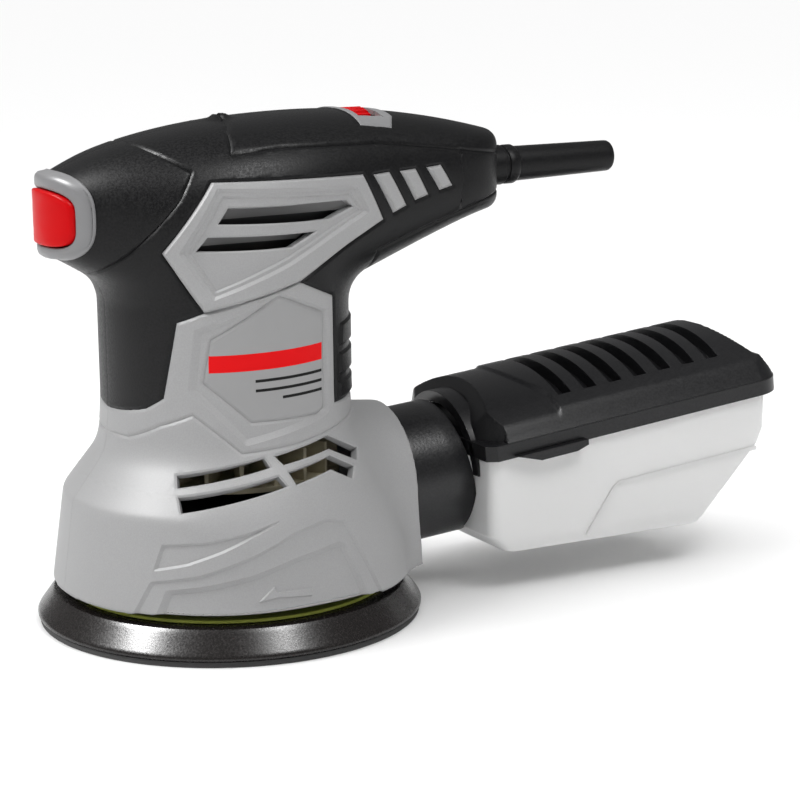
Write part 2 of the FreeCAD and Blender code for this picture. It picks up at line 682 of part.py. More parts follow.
def dust_unit():
    """Adapter tube, dust box, lid, latch and filter."""
    tube = outlet_cylinder(size("tube_radius"), -20.0, 16.0)
    tube = tube.cut(outlet_cylinder(size("tube_radius") - size("tube_wall"), -30.0, 30.0))
    lean = math.radians(12.0)
    trim = Part.makeBox(60, 100, 120, Vector(0, -50, -60))
    trim.Placement = Placement(Vector(78.6, 0, size("outlet_z") + 0.6),
                               Rotation(Vector(0, 1, 0), -math.degrees(lean)))
    fixed_shape("adapter_tube", tube.cut(trim))
    fixed_shape("dust_box", dust_box_shape())
    fixed_shape("dust_lid", dust_lid())
    filter_block = Part.makeBox(70, 50, 6.0, Vector(31.0, -25, 4.0))
    filter_block.Placement = tilted_placement()
    fixed_shape("dust_filter", filter_block)
    half = size("lid_half")
    tab_outline = [(9.0, 0.9), (36.5, 0.9), (36.5, -0.9), (32.0, -2.2), (18.0, -2.2)]
    tab = side_face(tab_outline).extrude(Vector(0, -2.4, 0))
    tab.translate(Vector(0, -half - 0.1, 0))
    tab.Placement = tilted_placement().multiply(tab.Placement)
    fixed_shape("lid_tab", tab)


lower_shell()
nose_rocker()
dust_unit()


# ---------------------------------------------------------------- sanding pad

def holed(body_object, low, high):
    """The pad layer with its ring of dust holes and the middle hole."""
    holes = []
    for number in range(8):
        angle = math.radians(22.5 + 45 * number)
        x = size("dust_hole_circle") * math.cos(angle)
        y = size("dust_hole_circle") * math.sin(angle)
        holes.append(primitive_cylinder("dust_hole", high - low + 2, x, y, low - 1))
    tools = fuse(*holes)
    tools.Label = f"{body_object.Label} holes"
    result = cut(body_object, tools)
    return put(result, "pad_centre")


def sanding_pad():
    """Hook face, foam, backing plate, hub and screw, all on the orbit axis."""
    face = turned("face_layer", [(0.0, 0.0), ("face_radius", 0.0),
                                 ("face_radius", "face_thickness"), (0.0, "face_thickness")])
    named(holed(face, 0.0, size("face_thickness")), "grip_face")
    foam = turned("foam_layer", [
        (8.0, "face_thickness"), ("face_radius", "face_thickness"),
        ("pad_radius", "rim_height"), ("pad_shoulder", "pad_height"), (3.3, "pad_height"),
        (3.3, 7.0), (8.0, 7.0)])
    named(holed(foam, size("face_thickness"), size("pad_height")), "pad_foam")
    plate_top = ("pad_height", size("plate_thickness"))
    plate = turned("plate_layer", [
        (3.3, "pad_height"), ("plate_radius", "pad_height"),
        ("plate_radius", plate_top), (3.3, plate_top)])
    named(holed(plate, size("pad_height"), term(plate_top)[0]), "backing_plate")
    hub = turned("pad_hub", [
        (2.65, 11.9), (16.0, 11.9), (16.0, 14.4), (9.0, 16.5), (9.0, 20.6),
        ("spindle_radius", 20.6), ("spindle_radius", 31.0), (2.65, 31.0)])
    named(put(hub, "pad_centre"), "pad_hub")
    screw = turned("pad_screw", [(0.0, 3.4), (6.0, 3.4), (6.0, 7.0), (2.6, 7.0), (2.6, 26.0),
                                 (0.0, 26.0)])
    named(put(screw, "pad_centre"), "pad_screw")


# ---------------------------------------------------------------- motor line

def motor_line():
    """Everything on the motor shaft, and the fixed motor parts round it."""
    shaft = ("shaft_radius", 0.02)
    named(turned("motor_shaft", [(0.0, "shaft_low"), ("shaft_radius", "shaft_low"),
                                 ("shaft_radius", "shaft_top"), (0.0, "shaft_top")]),
          "motor_shaft")
    named(turned("armature_core", [(shaft, "core_low"), ("armature_radius", "core_low"),
                                   ("armature_radius", "core_top"), (shaft, "core_top")]),
          "armature_core")
    named(turned("armature_winding", [
        (shaft, ("core_top", 0.1)), (19.0, ("core_top", 0.1)), (17.0, ("core_top", 5.5)),
        (shaft, ("core_top", 5.5))]), "armature_winding")
    named(turned("commutator", [
        (shaft, "commutator_low"), ("commutator_radius", "commutator_low"),
        ("commutator_radius", "commutator_top"), (shaft, "commutator_top")]), "commutator")
    named(turned("stator_core", [
        ("stator_bore", "core_low"), ("stator_radius", "core_low"),
        ("stator_radius", "core_top"), ("stator_bore", "core_top")]), "stator_core")
    named(turned("field_coil", [
        (24.0, ("core_top", 0.1)), (31.0, ("core_top", 0.1)), (30.0, ("core_top", 5.5)),
        (24.5, ("core_top", 5.5))]), "field_coil")
    bearing_bore = ("shaft_radius", 0.05)
    named(turned("upper_bearing", [(bearing_bore, 124.5), (9.0, 124.5), (9.0, 130.0),
                                   (bearing_bore, 130.0)]), "upper_bearing")
    named(turned("lower_bearing", [(bearing_bore, 39.0), (10.0, 39.0), (10.0, 45.0),
                                   (bearing_bore, 45.0)]), "lower_bearing")
    baffle = turned("baffle_disc", [
        (9.5, 37.4), (11.0, 37.0), (13.0, 37.0), (13.0, 39.1), (51.4, 39.1), (51.4, 41.1),
        (13.0, 41.1), (13.0, 45.0), (10.02, 45.0), (10.02, 39.0), (9.5, 39.0)])
    duct = document.addObject("Part::Feature", "Duct")
    duct.Shape = outlet_cylinder(size("tube_radius") + 1.8, -40.0, 20.0)
    named(cut(baffle, duct), "baffle_plate")

    fan = turned("fan_disc", [
        (shaft, "fan_low"), ("fan_radius", "fan_low"), ("fan_radius", ("fan_low", 1.6)),
        (8.0, ("fan_low", 1.6)), (8.0, "fan_top"), (shaft, "fan_top")])
    blades = []
    for number in range(20):
        turn = Rotation(Vector(0, 0, 1), 18.0 * number)
        blade = document.addObject("Part::Box", "Blade")
        bind(blade, "Length", 19.0)
        bind(blade, "Width", 1.3)
        bind(blade, "Height", ("fan_top", -size("fan_low") - 0.5))
        corner = turn.multVec(Vector(16.0, -0.65, size("fan_low") + 0.5))
        blade.Placement = Placement(corner, turn)
        blades.append(blade)
    named(fuse(fan, *blades), "cooling_fan")

    carrier = turned("carrier_body", [
        (0.0, ("carrier_top", -3.0)), (0.0, "carrier_low"), ("carrier_radius", "carrier_low"),
        ("carrier_radius", "carrier_top"), (0.0, "carrier_top")])
    pocket = primitive_cylinder(("orbit_bearing_radius", 0.02), 11.0,
                                "pad_centre", 0, ("carrier_low", -1.0))
    bore = primitive_cylinder(shaft, 20.0, 0, 0, 32.9)
    named(cut(carrier, pocket, bore), "orbit_carrier")
    bearing = turned("orbit_bearing", [
        (("spindle_radius", 0.05), 21.2), ("orbit_bearing_radius", 21.2),
        ("orbit_bearing_radius", 30.8), (("spindle_radius", 0.05), 30.8)])
    named(put(bearing, "pad_centre"), "orbit_bearing")
    disc = turned("dust_fan_disc", [
        (("carrier_radius", 0.02), 31.4), (33.5, 31.4), (33.5, 33.0), (21.0, 33.0),
        (21.0, 34.5), (("carrier_radius", 0.02), 34.5)])
    vanes = []
    for number in range(8):
        turn = Rotation(Vector(0, 0, 1), 45.0 * number)
        vane = document.addObject("Part::Box", "Vane")
        bind(vane, "Length", 13.0)
        bind(vane, "Width", 1.6)
        bind(vane, "Height", 11.0)
        vane.Placement = Placement(turn.multVec(Vector(20.0, -0.8, 20.6)), turn)
        vanes.append(vane)
    named(fuse(disc, *vanes), "dust_fan")
    weight = ring_solid(18.0, 8.5, 35.05, 36.6).common(
        Part.makeBox(40, 40, 10, Vector(3.0, -20, 30)))
    fixed_shape("balance_weight", weight)


def brush_gear():
    """The two brush holders and their carbon brushes, facing the commutator."""
    for side, name in ((-1, "left"), (1, "right")):
        turn = Rotation(Vector(0, 0, 1), 90.0 * side)
        outside = primitive_box(18.0, 9.0, 12.0, 0, 0, 0)
        tunnel = primitive_box(30.0, 6.1, 9.1, 0, 0, 1.5)
        holder = cut(outside, tunnel)
        named(put(holder, 0, side * 24.0, 106.4, turn), f"brush_holder_{name}")
        brush = primitive_box(16.0, 6.0, 9.0, 0, 0, 0)
        shifted = turn.multVec(Vector(-8.0, -3.0, 0))
        named(put(brush, shifted.x, shifted.y + side * 19.0, 107.95, turn),
              f"carbon_brush_{name}")


# ---------------------------------------------------------------- controls, guard, fasteners

def controls():
    """Switch body, speed dial with its holder, and the speed board."""
    named(primitive_box(11.0, 18.0, 16.0, -44.0, 0.0, 125.0), "switch_body")
    facing = Rotation(Vector(0, 1, 0), 90)
    wheel = primitive_cylinder("dial_radius", "dial_width", 0, 0, 0)
    axle = primitive_cylinder(2.0, 16.0, 0, 0, -3.8)
    grooves = []
    for number in range(30):
        angle = math.radians(12.0 * number)
        reach = size("dial_radius") + 0.25
        grooves.append(primitive_cylinder(0.7, 12.0, reach * math.cos(angle),
                                          reach * math.sin(angle), -1.0))
    dial = fuse(cut(wheel, fuse(*grooves)), axle)
    named(put(dial, ("dial_x", -size("dial_width") / 2), 0, "dial_z", facing), "speed_dial")
    base = primitive_box(20.0, 14.0, 2.0, 45.0, 0.0, 131.5)
    cheeks = [primitive_box(2.4, 10.0, 18.0, x, 0.0, 133.0) for x in (39.2, 50.8)]
    hole = primitive_cylinder(2.06, 40.0, 25.0, 0, "dial_z", facing)
    named(cut(fuse(base, *cheeks), hole), "dial_holder")
    named(primitive_box(24.0, 24.0, 1.6, 68.0, 0.0, 143.0), "speed_board")


def cord_guard():
    """The tapered sleeve at the handle end, with a bore for a cord."""
    start, end = size("guard_start"), size("guard_end")
    guard = turned("cord_guard", [
        ("guard_bore", -10.0), (FLANGE_RADIUS, -10.0), (FLANGE_RADIUS, -6.0),
        ("guard_root", -6.0),
        ("guard_root", 4.0), (6.2, 8.0), ("guard_tip", end - start - 1.0),
        (("guard_tip", -1.0), end - start), ("guard_bore", end - start)])
    turn = Rotation(Vector(0, 1, 0), 90 - size("guard_tilt"))
    named(put(guard, "guard_start", 0, "guard_z", turn), "cord_guard")
    named(primitive_box(7.0, 20.0, 4.4, 80.0, 0.0, 131.0), "cord_clamp")


def fasteners():
    """The three screws that hold the housing halves together, driven from the right."""
    turn = Rotation(Vector(1, 0, 0), -90)
    for number, (x, z) in enumerate(SCREW_PLACES, start=1):
        screw = turned("housing_screw", [(0.0, -12.0), (SCREW_RADIUS, -12.0),
                                         (SCREW_RADIUS, 18.1), (SCREW_HEAD, 18.1),
                                         (SCREW_HEAD, 20.3), (0.0, 20.3)])
        named(put(screw, x, 0, z, turn), f"housing_screw_{number}")


sanding_pad()
motor_line()
brush_gear()
controls()
cord_guard()
fasteners()


def check_and_write():
    """Recompute, refuse anything that failed, and write each sub-part's shape."""
    document.recompute()
    for thing in document.Objects:
        if "Invalid" in thing.State or "Error" in thing.State:
            raise RuntimeError(f"{thing.Label} failed: {thing.State}")
    for thing in nodes:
        if thing.Shape.isNull() or not thing.Shape.isValid():
            raise RuntimeError(f"{thing.Label} has no valid shape")
    os.makedirs("parts", exist_ok=True)
    for thing in nodes:
        thing.Shape.exportStep(f"parts/{thing.Label}.step")
        print(thing.Label, round(thing.Shape.Volume), "mm3")


check_and_write()
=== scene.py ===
import math

import bmesh
import bpy
import numpy as np
from mathutils import Matrix, Vector


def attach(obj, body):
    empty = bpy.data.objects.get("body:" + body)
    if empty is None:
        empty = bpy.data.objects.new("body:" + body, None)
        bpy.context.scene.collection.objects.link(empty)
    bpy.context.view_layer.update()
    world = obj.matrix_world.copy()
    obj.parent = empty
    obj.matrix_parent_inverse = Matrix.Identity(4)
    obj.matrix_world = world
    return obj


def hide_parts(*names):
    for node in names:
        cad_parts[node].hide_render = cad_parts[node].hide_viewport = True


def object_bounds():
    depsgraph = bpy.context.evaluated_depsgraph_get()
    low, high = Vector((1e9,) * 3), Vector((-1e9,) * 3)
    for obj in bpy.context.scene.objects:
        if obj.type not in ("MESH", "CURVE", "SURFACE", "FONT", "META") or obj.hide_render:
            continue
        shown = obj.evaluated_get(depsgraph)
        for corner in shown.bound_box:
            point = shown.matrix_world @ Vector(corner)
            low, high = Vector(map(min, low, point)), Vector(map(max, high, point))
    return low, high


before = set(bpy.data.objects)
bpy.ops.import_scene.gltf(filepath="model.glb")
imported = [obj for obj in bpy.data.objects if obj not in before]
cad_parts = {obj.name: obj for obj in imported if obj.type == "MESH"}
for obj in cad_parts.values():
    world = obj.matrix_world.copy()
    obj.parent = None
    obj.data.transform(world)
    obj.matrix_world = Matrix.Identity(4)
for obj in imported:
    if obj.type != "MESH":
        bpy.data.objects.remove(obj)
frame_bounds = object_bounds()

# Random-orbit palm sander. Lengths in this script are millimetres until a mesh is made.
# -X is the nose, +X the cord end, and the left side, -Y, faces the camera.
MM = 0.001
scene = bpy.context.scene


# ---------------------------------------------------------------- mesh helpers

def new_object(name, mesh):
    """An object in the scene that holds this mesh."""
    thing = bpy.data.objects.new(name, mesh)
    scene.collection.objects.link(thing)
    return thing


def build(name, points, faces):
    """A smooth-shaded mesh object from points in millimetres, faced outwards."""
    mesh = bmesh.new()
    made = [mesh.verts.new(Vector(p) * MM) for p in points]
    for face in faces:
        mesh.faces.new([made[i] for i in face])
    bmesh.ops.remove_doubles(mesh, verts=mesh.verts, dist=0.002 * MM)
    bmesh.ops.recalc_face_normals(mesh, faces=mesh.faces)
    return finish_mesh(name, mesh)


def finish_mesh(name, mesh, sharp=35.0):
    """An object from a bmesh in metres, smooth except at edges sharper than this angle."""
    data = bpy.data.meshes.new(name)
    mesh.to_mesh(data)
    mesh.free()
    data.shade_smooth()
    data.set_sharp_from_angle(angle=math.radians(sharp))
    return new_object(name, data)


def grid_faces(rows, columns, wrap):
    """Quads of a grid of points, closed round its columns if wrap is set."""
    last = columns if wrap else columns - 1
    return [(row * columns + column, row * columns + (column + 1) % columns,
             (row + 1) * columns + (column + 1) % columns, (row + 1) * columns + column)
            for row in range(rows - 1) for column in range(last)]


def full_turn(steps):
    """Evenly spaced angles of one turn."""
    return np.linspace(0, 2 * math.pi, steps, endpoint=False)


def loft(name, rings, closed=False):
    """A solid through rings of equal point counts: capped, or closed into a tube wall."""
    count = len(rings[0])
    if closed:
        rings = rings + rings[:1]
    faces = grid_faces(len(rings), count, True)
    if not closed:
        faces.append(tuple(range(count)))
        faces.append(tuple((len(rings) - 1) * count + i for i in range(count)))
    return build(name, [p for ring in rings for p in ring], faces)


def squircle(x, half, low, high, power, count=64):
    """A rounded rectangle in the plane at x."""
    turn = full_turn(count)
    side, up = np.sin(turn), np.cos(turn)
    y = half * np.sign(side) * np.abs(side) ** (2 / power)
    z = (low + high) / 2 + (high - low) / 2 * np.sign(up) * np.abs(up) ** (2 / power)
    return [(x, a, b) for a, b in zip(y, z)]


def turned(name, profile, steps=96, closed=False, x=0.0):
    """A solid turned about a vertical axis at x from (radius, height) corners."""
    angles = full_turn(steps)
    rings = [[(x + radius * math.cos(a), radius * math.sin(a), z) for a in angles]
             for radius, z in profile]
    return loft(name, rings, closed)


def bake(thing):
    """Turn an object's modifiers into its mesh, which takes their place."""
    depsgraph = bpy.context.evaluated_depsgraph_get()
    baked = bpy.data.meshes.new_from_object(thing.evaluated_get(depsgraph))
    thing.modifiers.clear()
    thing.data = baked


def hollow(thing, wall, opening, solver):
    """Give an object's sheet a wall inwards and cut an opening through it."""
    inward = thing.modifiers.new("Wall", "SOLIDIFY")
    inward.thickness = wall * MM
    inward.offset = -1.0
    cut = thing.modifiers.new("Opening", "BOOLEAN")
    cut.operation = "DIFFERENCE"
    cut.solver = solver
    cut.object = opening
    bake(thing)
    bpy.data.objects.remove(opening)


def join(name, things):
    """One object that holds the meshes of several."""
    mesh = bmesh.new()
    for thing in things:
        mesh.from_mesh(thing.data)
        bpy.data.objects.remove(thing)
    return finish_mesh(name, mesh)


# ---------------------------------------------------------------- form of the body

# Arch from the nose to the handle end: x, underside, top and half width of each section.
ARCH = np.array((
    (-57.0, 120.0, 146.0, 15.0), (-46.0, 113.5, 150.8, 21.5), (-30.0, 104.0, 155.4, 29.5),
    (-10.0, 99.0, 158.9, 35.0), (15.0, 100.0, 161.0, 35.5), (35.0, 106.0, 161.3, 31.5),
    (55.0, 113.5, 160.0, 27.0), (75.0, 121.0, 157.0, 23.5), (90.0, 125.6, 153.6, 20.5),
    (99.0, 127.4, 151.2, 18.5),
))
# Upright cylinders that bow the nose's front and the handle's end: x of the axis, radius.
FRONT_BOW = (-22.6, 33.8)
REAR_BOW = (74.0, 22.5)
# Power of the rounded rectangle that each section of the arch is.
ROUNDNESS = 2.5
# Motor neck, turned about this x: (height, radius).
NECK_CENTRE = -1.2
NECK = np.array(((50.0, 41.4), (60.0, 41.0), (68.0, 40.4), (75.0, 40.0), (108.0, 40.0),
                 (118.0, 38.8), (130.0, 36.0), (142.0, 30.0), (152.0, 20.0), (156.0, 0.0)))
# Skirt, turned about the origin: (height, radius) of its hem, crease and top.
SKIRT_LOW = (13.2, 58.4)
SKIRT_CREASE = (43.4, 54.1)
SKIRT_TOP = (60.0, 41.3)
# Axis of the dust outlet, from where the tube leaves the collar.
OUTLET_TILT = math.radians(5.0)
OUTLET = np.array((70.0, 0.0, 38.0))
OUTLET_AXIS = np.array((math.cos(OUTLET_TILT), 0.0, math.sin(OUTLET_TILT)))
OUTLET_UP = np.array((-math.sin(OUTLET_TILT), 0.0, math.cos(OUTLET_TILT)))
SIDEWAYS = np.array((0.0, 1.0, 0.0))
# Collar round the outlet: half width, height of its arch's centre and x of its end.
COLLAR = 26.6
COLLAR_Z = 36.7
COLLAR_END = 55.0


# Edge length of the body's net, and how near to a cut a vertex is moved onto it.
NET_SIZE = 1.25
SNAP = 0.12


def curve(table, at):
    """Values of the natural cubic through a table's rows, whose first column is x."""
    x = table[:, 0]
    gaps = np.diff(x)
    system = np.eye(len(x))
    for i in range(1, len(x) - 1):
        system[i, i - 1:i + 2] = gaps[i - 1], 2 * (gaps[i - 1] + gaps[i]), gaps[i]
    i = np.clip(np.searchsorted(x, at) - 1, 0, len(x) - 2)
    a = (x[i + 1] - at) / gaps[i]
    b = 1 - a
    results = []
    for y in table[:, 1:].T:
        right = np.zeros(len(x))
        right[1:-1] = 6 * np.diff(np.diff(y) / gaps)
        bend = np.linalg.solve(system, right)
        results.append(a * y[i] + b * y[i + 1] + ((a ** 3 - a) * bend[i]
                       + (b ** 3 - b) * bend[i + 1]) * gaps[i] ** 2 / 6)
    return results


def soft_min(a, b, blend):
    """The smaller of two fields, blended over a width."""
    share = np.clip(0.5 + 0.5 * (b - a) / blend, 0, 1)
    return b + (a - b) * share - blend * share * (1 - share)


def soft_max(a, b, blend):
    """The larger of two fields, blended over a width."""
    return -soft_min(-a, -b, blend)


def arch_field(p):
    """Rough distance outside the nose and handle."""
    x = np.clip(p[:, 0], ARCH[0, 0], ARCH[-1, 0])
    low, high, half = curve(ARCH, x)
    rise = (high - low) / 2
    side = np.abs(p[:, 1]) / half
    up = np.abs(p[:, 2] - (low + high) / 2) / rise
    reach = np.maximum((side ** ROUNDNESS + up ** ROUNDNESS) ** (1 / ROUNDNESS), 1e-3)
    slope = np.hypot((side / reach) ** (ROUNDNESS - 1) / half,
                     (up / reach) ** (ROUNDNESS - 1) / rise)
    distance = (reach - 1) / np.maximum(slope, 1e-3)
    distance = soft_max(distance, ARCH[0, 0] - 5.0 - p[:, 0], 1.5)
    rear = np.hypot(p[:, 0] - REAR_BOW[0], p[:, 1]) - REAR_BOW[1]
    return soft_max(distance, np.where(p[:, 0] > REAR_BOW[0], rear, -9.0), 4.0)


def outlet_arc(name, degrees, section):
    """A (radius, distance) section swept round part of the outlet's axis."""
    rings = []
    for a in np.radians(degrees):
        out = math.cos(a) * SIDEWAYS + math.sin(a) * OUTLET_UP
        rings.append([OUTLET + OUTLET_AXIS * s + out * r for r, s in section])
    return loft(name, rings)


def neck_field(p):
    """Rough distance outside the motor neck."""
    around = np.hypot(p[:, 0] - NECK_CENTRE, p[:, 1])
    return around - np.interp(p[:, 2], NECK[:, 0], NECK[:, 1])


def cone_field(around, z, low, high):
    """Distance outside the cone through two (height, radius) rings."""
    slope = (high[1] - low[1]) / (high[0] - low[0])
    return (around - low[1] - slope * (z - low[0])) / math.hypot(1, slope)


def skirt_field(p):
    """Distance outside the skirt, whose crease fades out towards the back."""
    around = np.hypot(p[:, 0], p[:, 1])
    wall = cone_field(around, p[:, 2], SKIRT_LOW, SKIRT_CREASE)
    shoulder = cone_field(around, p[:, 2], SKIRT_CREASE, SKIRT_TOP)
    fade = np.interp(p[:, 0], (-34.0, 6.0), (0.7, 12.0))
    return soft_max(soft_max(wall, shoulder, fade), SKIRT_LOW[0] - p[:, 2], 1.6)


def collar_field(p):
    """Distance outside the arch-shaped collar round the outlet."""
    up = np.maximum(p[:, 2] - COLLAR_Z, 0)
    lean = np.maximum(COLLAR_Z - p[:, 2], 0) * 0.07
    arch = np.hypot(p[:, 1], up) - COLLAR - lean - 0.10 * np.clip(COLLAR_END - p[:, 0], 0, 40)
    arch = soft_max(arch, p[:, 0] - COLLAR_END, 1.2)
    arch = soft_max(arch, 6.0 - p[:, 0], 2.0)
    return soft_max(arch, SKIRT_LOW[0] - p[:, 2], 1.0)


def body_field(p):
    """The whole body: one smooth field, negative inside."""
    upper = soft_min(arch_field(p), neck_field(p), 7.0)
    lower = soft_min(skirt_field(p), collar_field(p), 7.0)
    return soft_min(upper, lower, 3.0)


def field_slope(field, p):
    """Gradient of a field by small steps."""
    step = 0.05
    return np.stack([(field(p + step * axis) - field(p - step * axis)) / (2 * step)
                     for axis in np.eye(3)], axis=1)


def on_surface(field, p, rounds=6):
    """Points moved onto the surface of a field, and the outward normals there."""
    for _ in range(rounds):
        slope = field_slope(field, p)
        length2 = np.maximum((slope ** 2).sum(axis=1), 0.05)
        shift = np.clip(field(p) / length2, -1.5, 1.5)
        p = p - slope * shift[:, None]
    slope = field_slope(field, p)
    return p, slope / np.linalg.norm(slope, axis=1)[:, None]


def body_mesh():
    """The left half of the body as an even net of quads, in millimetres."""
    stations = np.linspace(ARCH[0, 0] - 5.0, ARCH[-1, 0], 64)
    sections = zip(stations, *curve(ARCH, np.maximum(stations, ARCH[0, 0])))
    arch = loft("arch", [squircle(x, half, low, high, ROUNDNESS, 80)
                         for x, low, high, half in sections])
    neck = turned("neck", [(r, z) for z, r in NECK[:-1]], x=NECK_CENTRE)
    skirt = turned("skirt", [(r, z) for z, r in (SKIRT_LOW, SKIRT_CREASE, SKIRT_TOP)])
    bend = np.linspace(0, math.pi, 30)
    outline = [(COLLAR * math.cos(a), COLLAR_Z + COLLAR * math.sin(a)) for a in bend]
    outline += [(-COLLAR - 1.5, SKIRT_LOW[0]), (COLLAR + 1.5, SKIRT_LOW[0])]
    collar = loft("collar", [[(x, y, z) for y, z in outline] for x in (12.0, COLLAR_END)])
    whole = join("whole", [arch, neck, skirt, collar])
    remesh = whole.modifiers.new("Net", "REMESH")
    remesh.mode = "VOXEL"
    remesh.voxel_size = NET_SIZE * MM
    bake(whole)
    mesh = bmesh.new()
    mesh.from_mesh(whole.data)
    bpy.data.objects.remove(whole)
    bmesh.ops.scale(mesh, vec=(1 / MM,) * 3, verts=mesh.verts)
    for _ in range(4):
        bmesh.ops.smooth_vert(mesh, verts=mesh.verts, factor=0.5,
                              use_axis_x=True, use_axis_y=True, use_axis_z=True)
    settle(mesh, body_field)
    bisect(mesh, mesh.faces, (0, SEAM_Y, 0), (0, 1, 0), drop=True)
    return mesh


def settle(mesh, field):
    """Move a mesh's vertices onto a field's surface."""
    points = np.array([v.co for v in mesh.verts])
    points, _ = on_surface(field, points)
    for vert, point in zip(mesh.verts, points):
        vert.co = point


def bisect(mesh, faces, point, normal, drop=False):
    """Cut faces along a plane, and drop what is beyond it if asked."""
    faces = list(faces)
    edges = {edge for face in faces for edge in face.edges}
    verts = {vert for face in faces for vert in face.verts}
    return bmesh.ops.bisect_plane(mesh, geom=faces + list(edges) + list(verts), dist=SNAP,
                                  plane_co=point, plane_no=normal, use_snap_center=True,
                                  clear_outer=drop)


# ---------------------------------------------------------------- outlines on the left side

# Outlines of the separate skins and trims, (x, z), as seen along Y.
INSERT = [(-17.4, 143.7), (34.0, 143.1), (41.7, 128.2), (7.9, 112.3), (-22.2, 104.6),
          (-32.9, 122.8)]
UPPER_SLOT = [(-13.4, 136.2), (27.5, 135.6), (30.1, 133.4), (21.1, 130.4), (-17.0, 131.4)]
LOWER_SLOT = [(-20.4, 127.4), (15.4, 127.0), (6.1, 123.1), (-23.9, 123.1)]
NECK_PANEL = [(-29.2, 101.4), (-22.2, 104.6), (7.9, 112.3), (22.0, 106.2), (22.1, 72.2),
              (60.0, 72.2), (60.0, 50.0), (-60.0, 50.0), (-60.0, 71.5), (-42.0, 71.5),
              (-36.5, 74.0), (-32.7, 77.7)]
LABEL = [(0.2, 109.0), (18.0, 101.8), (17.4, 71.5), (14.6, 70.3), (-9.7, 70.3),
         (-23.3, 82.8), (-20.9, 96.2)]
NOSE = [(-70.0, 165.0), (-34.5, 165.0), (-34.0, 154.6), (-22.3, 146.7), (-27.3, 138.4),
        (-33.1, 131.6), (-43.0, 121.0), (-48.0, 116.0), (-48.0, 104.0), (-70.0, 104.0)]
TOP_GRIP = [(-1.4, 170.0), (-1.4, 160.2), (-6.2, 157.4), (-9.1, 151.3), (7.2, 152.7),
            (42.3, 152.0), (65.9, 149.2), (96.0, 144.8), (96.0, 170.0)]
UNDER_GRIP = [(41.5, 100.0), (41.5, 118.2), (62.2, 124.3), (87.2, 131.3), (95.0, 133.4),
              (95.0, 100.0)]
STRIPES = (
    [(38.1, 142.7), (44.4, 143.1), (51.0, 131.9), (45.7, 129.9)],
    [(48.7, 143.0), (54.9, 143.3), (59.8, 134.6), (54.5, 133.2)],
    [(59.3, 143.4), (65.0, 143.8), (69.5, 136.8), (64.3, 135.7)],
)
LOWER_SHELL = [(-80.0, 64.3), (-40.0, 64.3), (-33.6, 69.2), (-26.0, 73.0), (-13.3, 61.2),
               (5.0, 62.6), (32.8, 66.4), (80.0, 66.4), (80.0, 5.0), (-80.0, 5.0)]
VENTS = (
    [(-31.9, 55.2), (-7.0, 59.6), (-5.6, 56.9), (-32.9, 51.9)],
    [(-3.4, 59.8), (17.3, 63.0), (30.2, 56.6), (27.9, 53.8), (16.7, 59.2), (-1.2, 57.2)],
    [(-33.5, 49.4), (-3.9, 54.3), (-1.9, 51.3), (-34.2, 45.4)],
    [(-0.2, 55.1), (16.5, 57.4), (25.6, 52.6), (23.3, 49.5), (15.2, 53.7), (1.4, 51.4)],
)
# Raised or sunk areas: outline, height of its floor, width of its sloping wall.
RELIEF = (
    ([(-16.2, 141.6), (30.6, 139.7), (35.6, 131.4), (4.0, 117.4), (-19.6, 108.4),
      (-28.4, 122.8)], -0.9, 1.0),
    ([(-14.9, 139.7), (28.9, 137.9), (33.0, 131.9), (3.0, 119.2), (-19.0, 110.6),
      (-26.0, 122.8)], -0.7, 0.6),
    ([(-22.6, 105.0), (-19.0, 101.0), (-0.5, 108.6), (7.0, 111.0)], -0.45, 0.9),
    ([(-24.9, 99.4), (0.2, 110.4), (19.4, 102.6), (18.9, 70.2), (15.2, 68.6), (-11.8, 63.4),
      (-27.0, 80.5)], -0.9, 1.9),
    ([(-39.9, 36.0), (-28.9, 37.2), (-16.9, 39.6), (-2.8, 43.2), (-16.1, 37.9),
      (-25.7, 33.4), (-34.5, 29.8), (-42.7, 27.5)], -0.7, 0.7),
    ([(-50.3, 9.0), (-43.5, 24.4), (-31.4, 27.1), (-16.5, 32.6), (-2.7, 38.3),
      (9.1, 40.5), (16.1, 38.9), (31.4, 9.0)], -0.7, 0.8),
    ([(-45.3, 9.0), (-40.3, 22.1), (-30.0, 23.9), (-17.0, 26.7), (-3.3, 30.8),
      (12.9, 33.3), (15.4, 32.3), (25.3, 9.0)], -1.2, 1.6),
    ([(-16.2, 18.2), (-10.5, 23.0), (-9.5, 21.1), (2.2, 20.9), (1.7, 18.4), (-9.8, 19.2)],
     0.55, 0.35),
    ([(25.5, 96.8), (38.0, 98.0), (38.0, 89.6), (24.9, 89.6)], 0.7, 0.9),
    ([(24.7, 87.6), (39.0, 88.4), (39.0, 80.6), (24.1, 80.4)], 0.7, 0.9),
    ([(23.9, 78.6), (39.5, 79.2), (39.5, 72.8), (23.5, 72.8)], 0.7, 0.9),
)
# Plain red band and thin bars on the label.
BAND = [(-21.6, 86.0), (-21.6, 91.3), (16.9, 92.4), (16.8, 87.1)]
MARKS = [[(-8.0, z), (-8.0, z + 0.9), (16.6, z + 1.5), (16.6, z + 0.6)]
         for z in (82.6, 79.6)] + [[(1.0, 76.9), (1.0, 77.8), (16.6, 78.2), (16.6, 77.3)]]
# Outline of the dial's frame, (x, y), as seen from above.
DIAL_BEZEL = [(38.6, 20.0), (49.6, 20.0), (53.4, 13.0), (53.4, -13.0), (49.6, -20.0),
              (38.6, -20.0)]
# Above this height is the handle's top; beyond this x is the collar's end face.
HANDLE_TOP = 140.0
COLLAR_FACE = COLLAR_END - 4.0
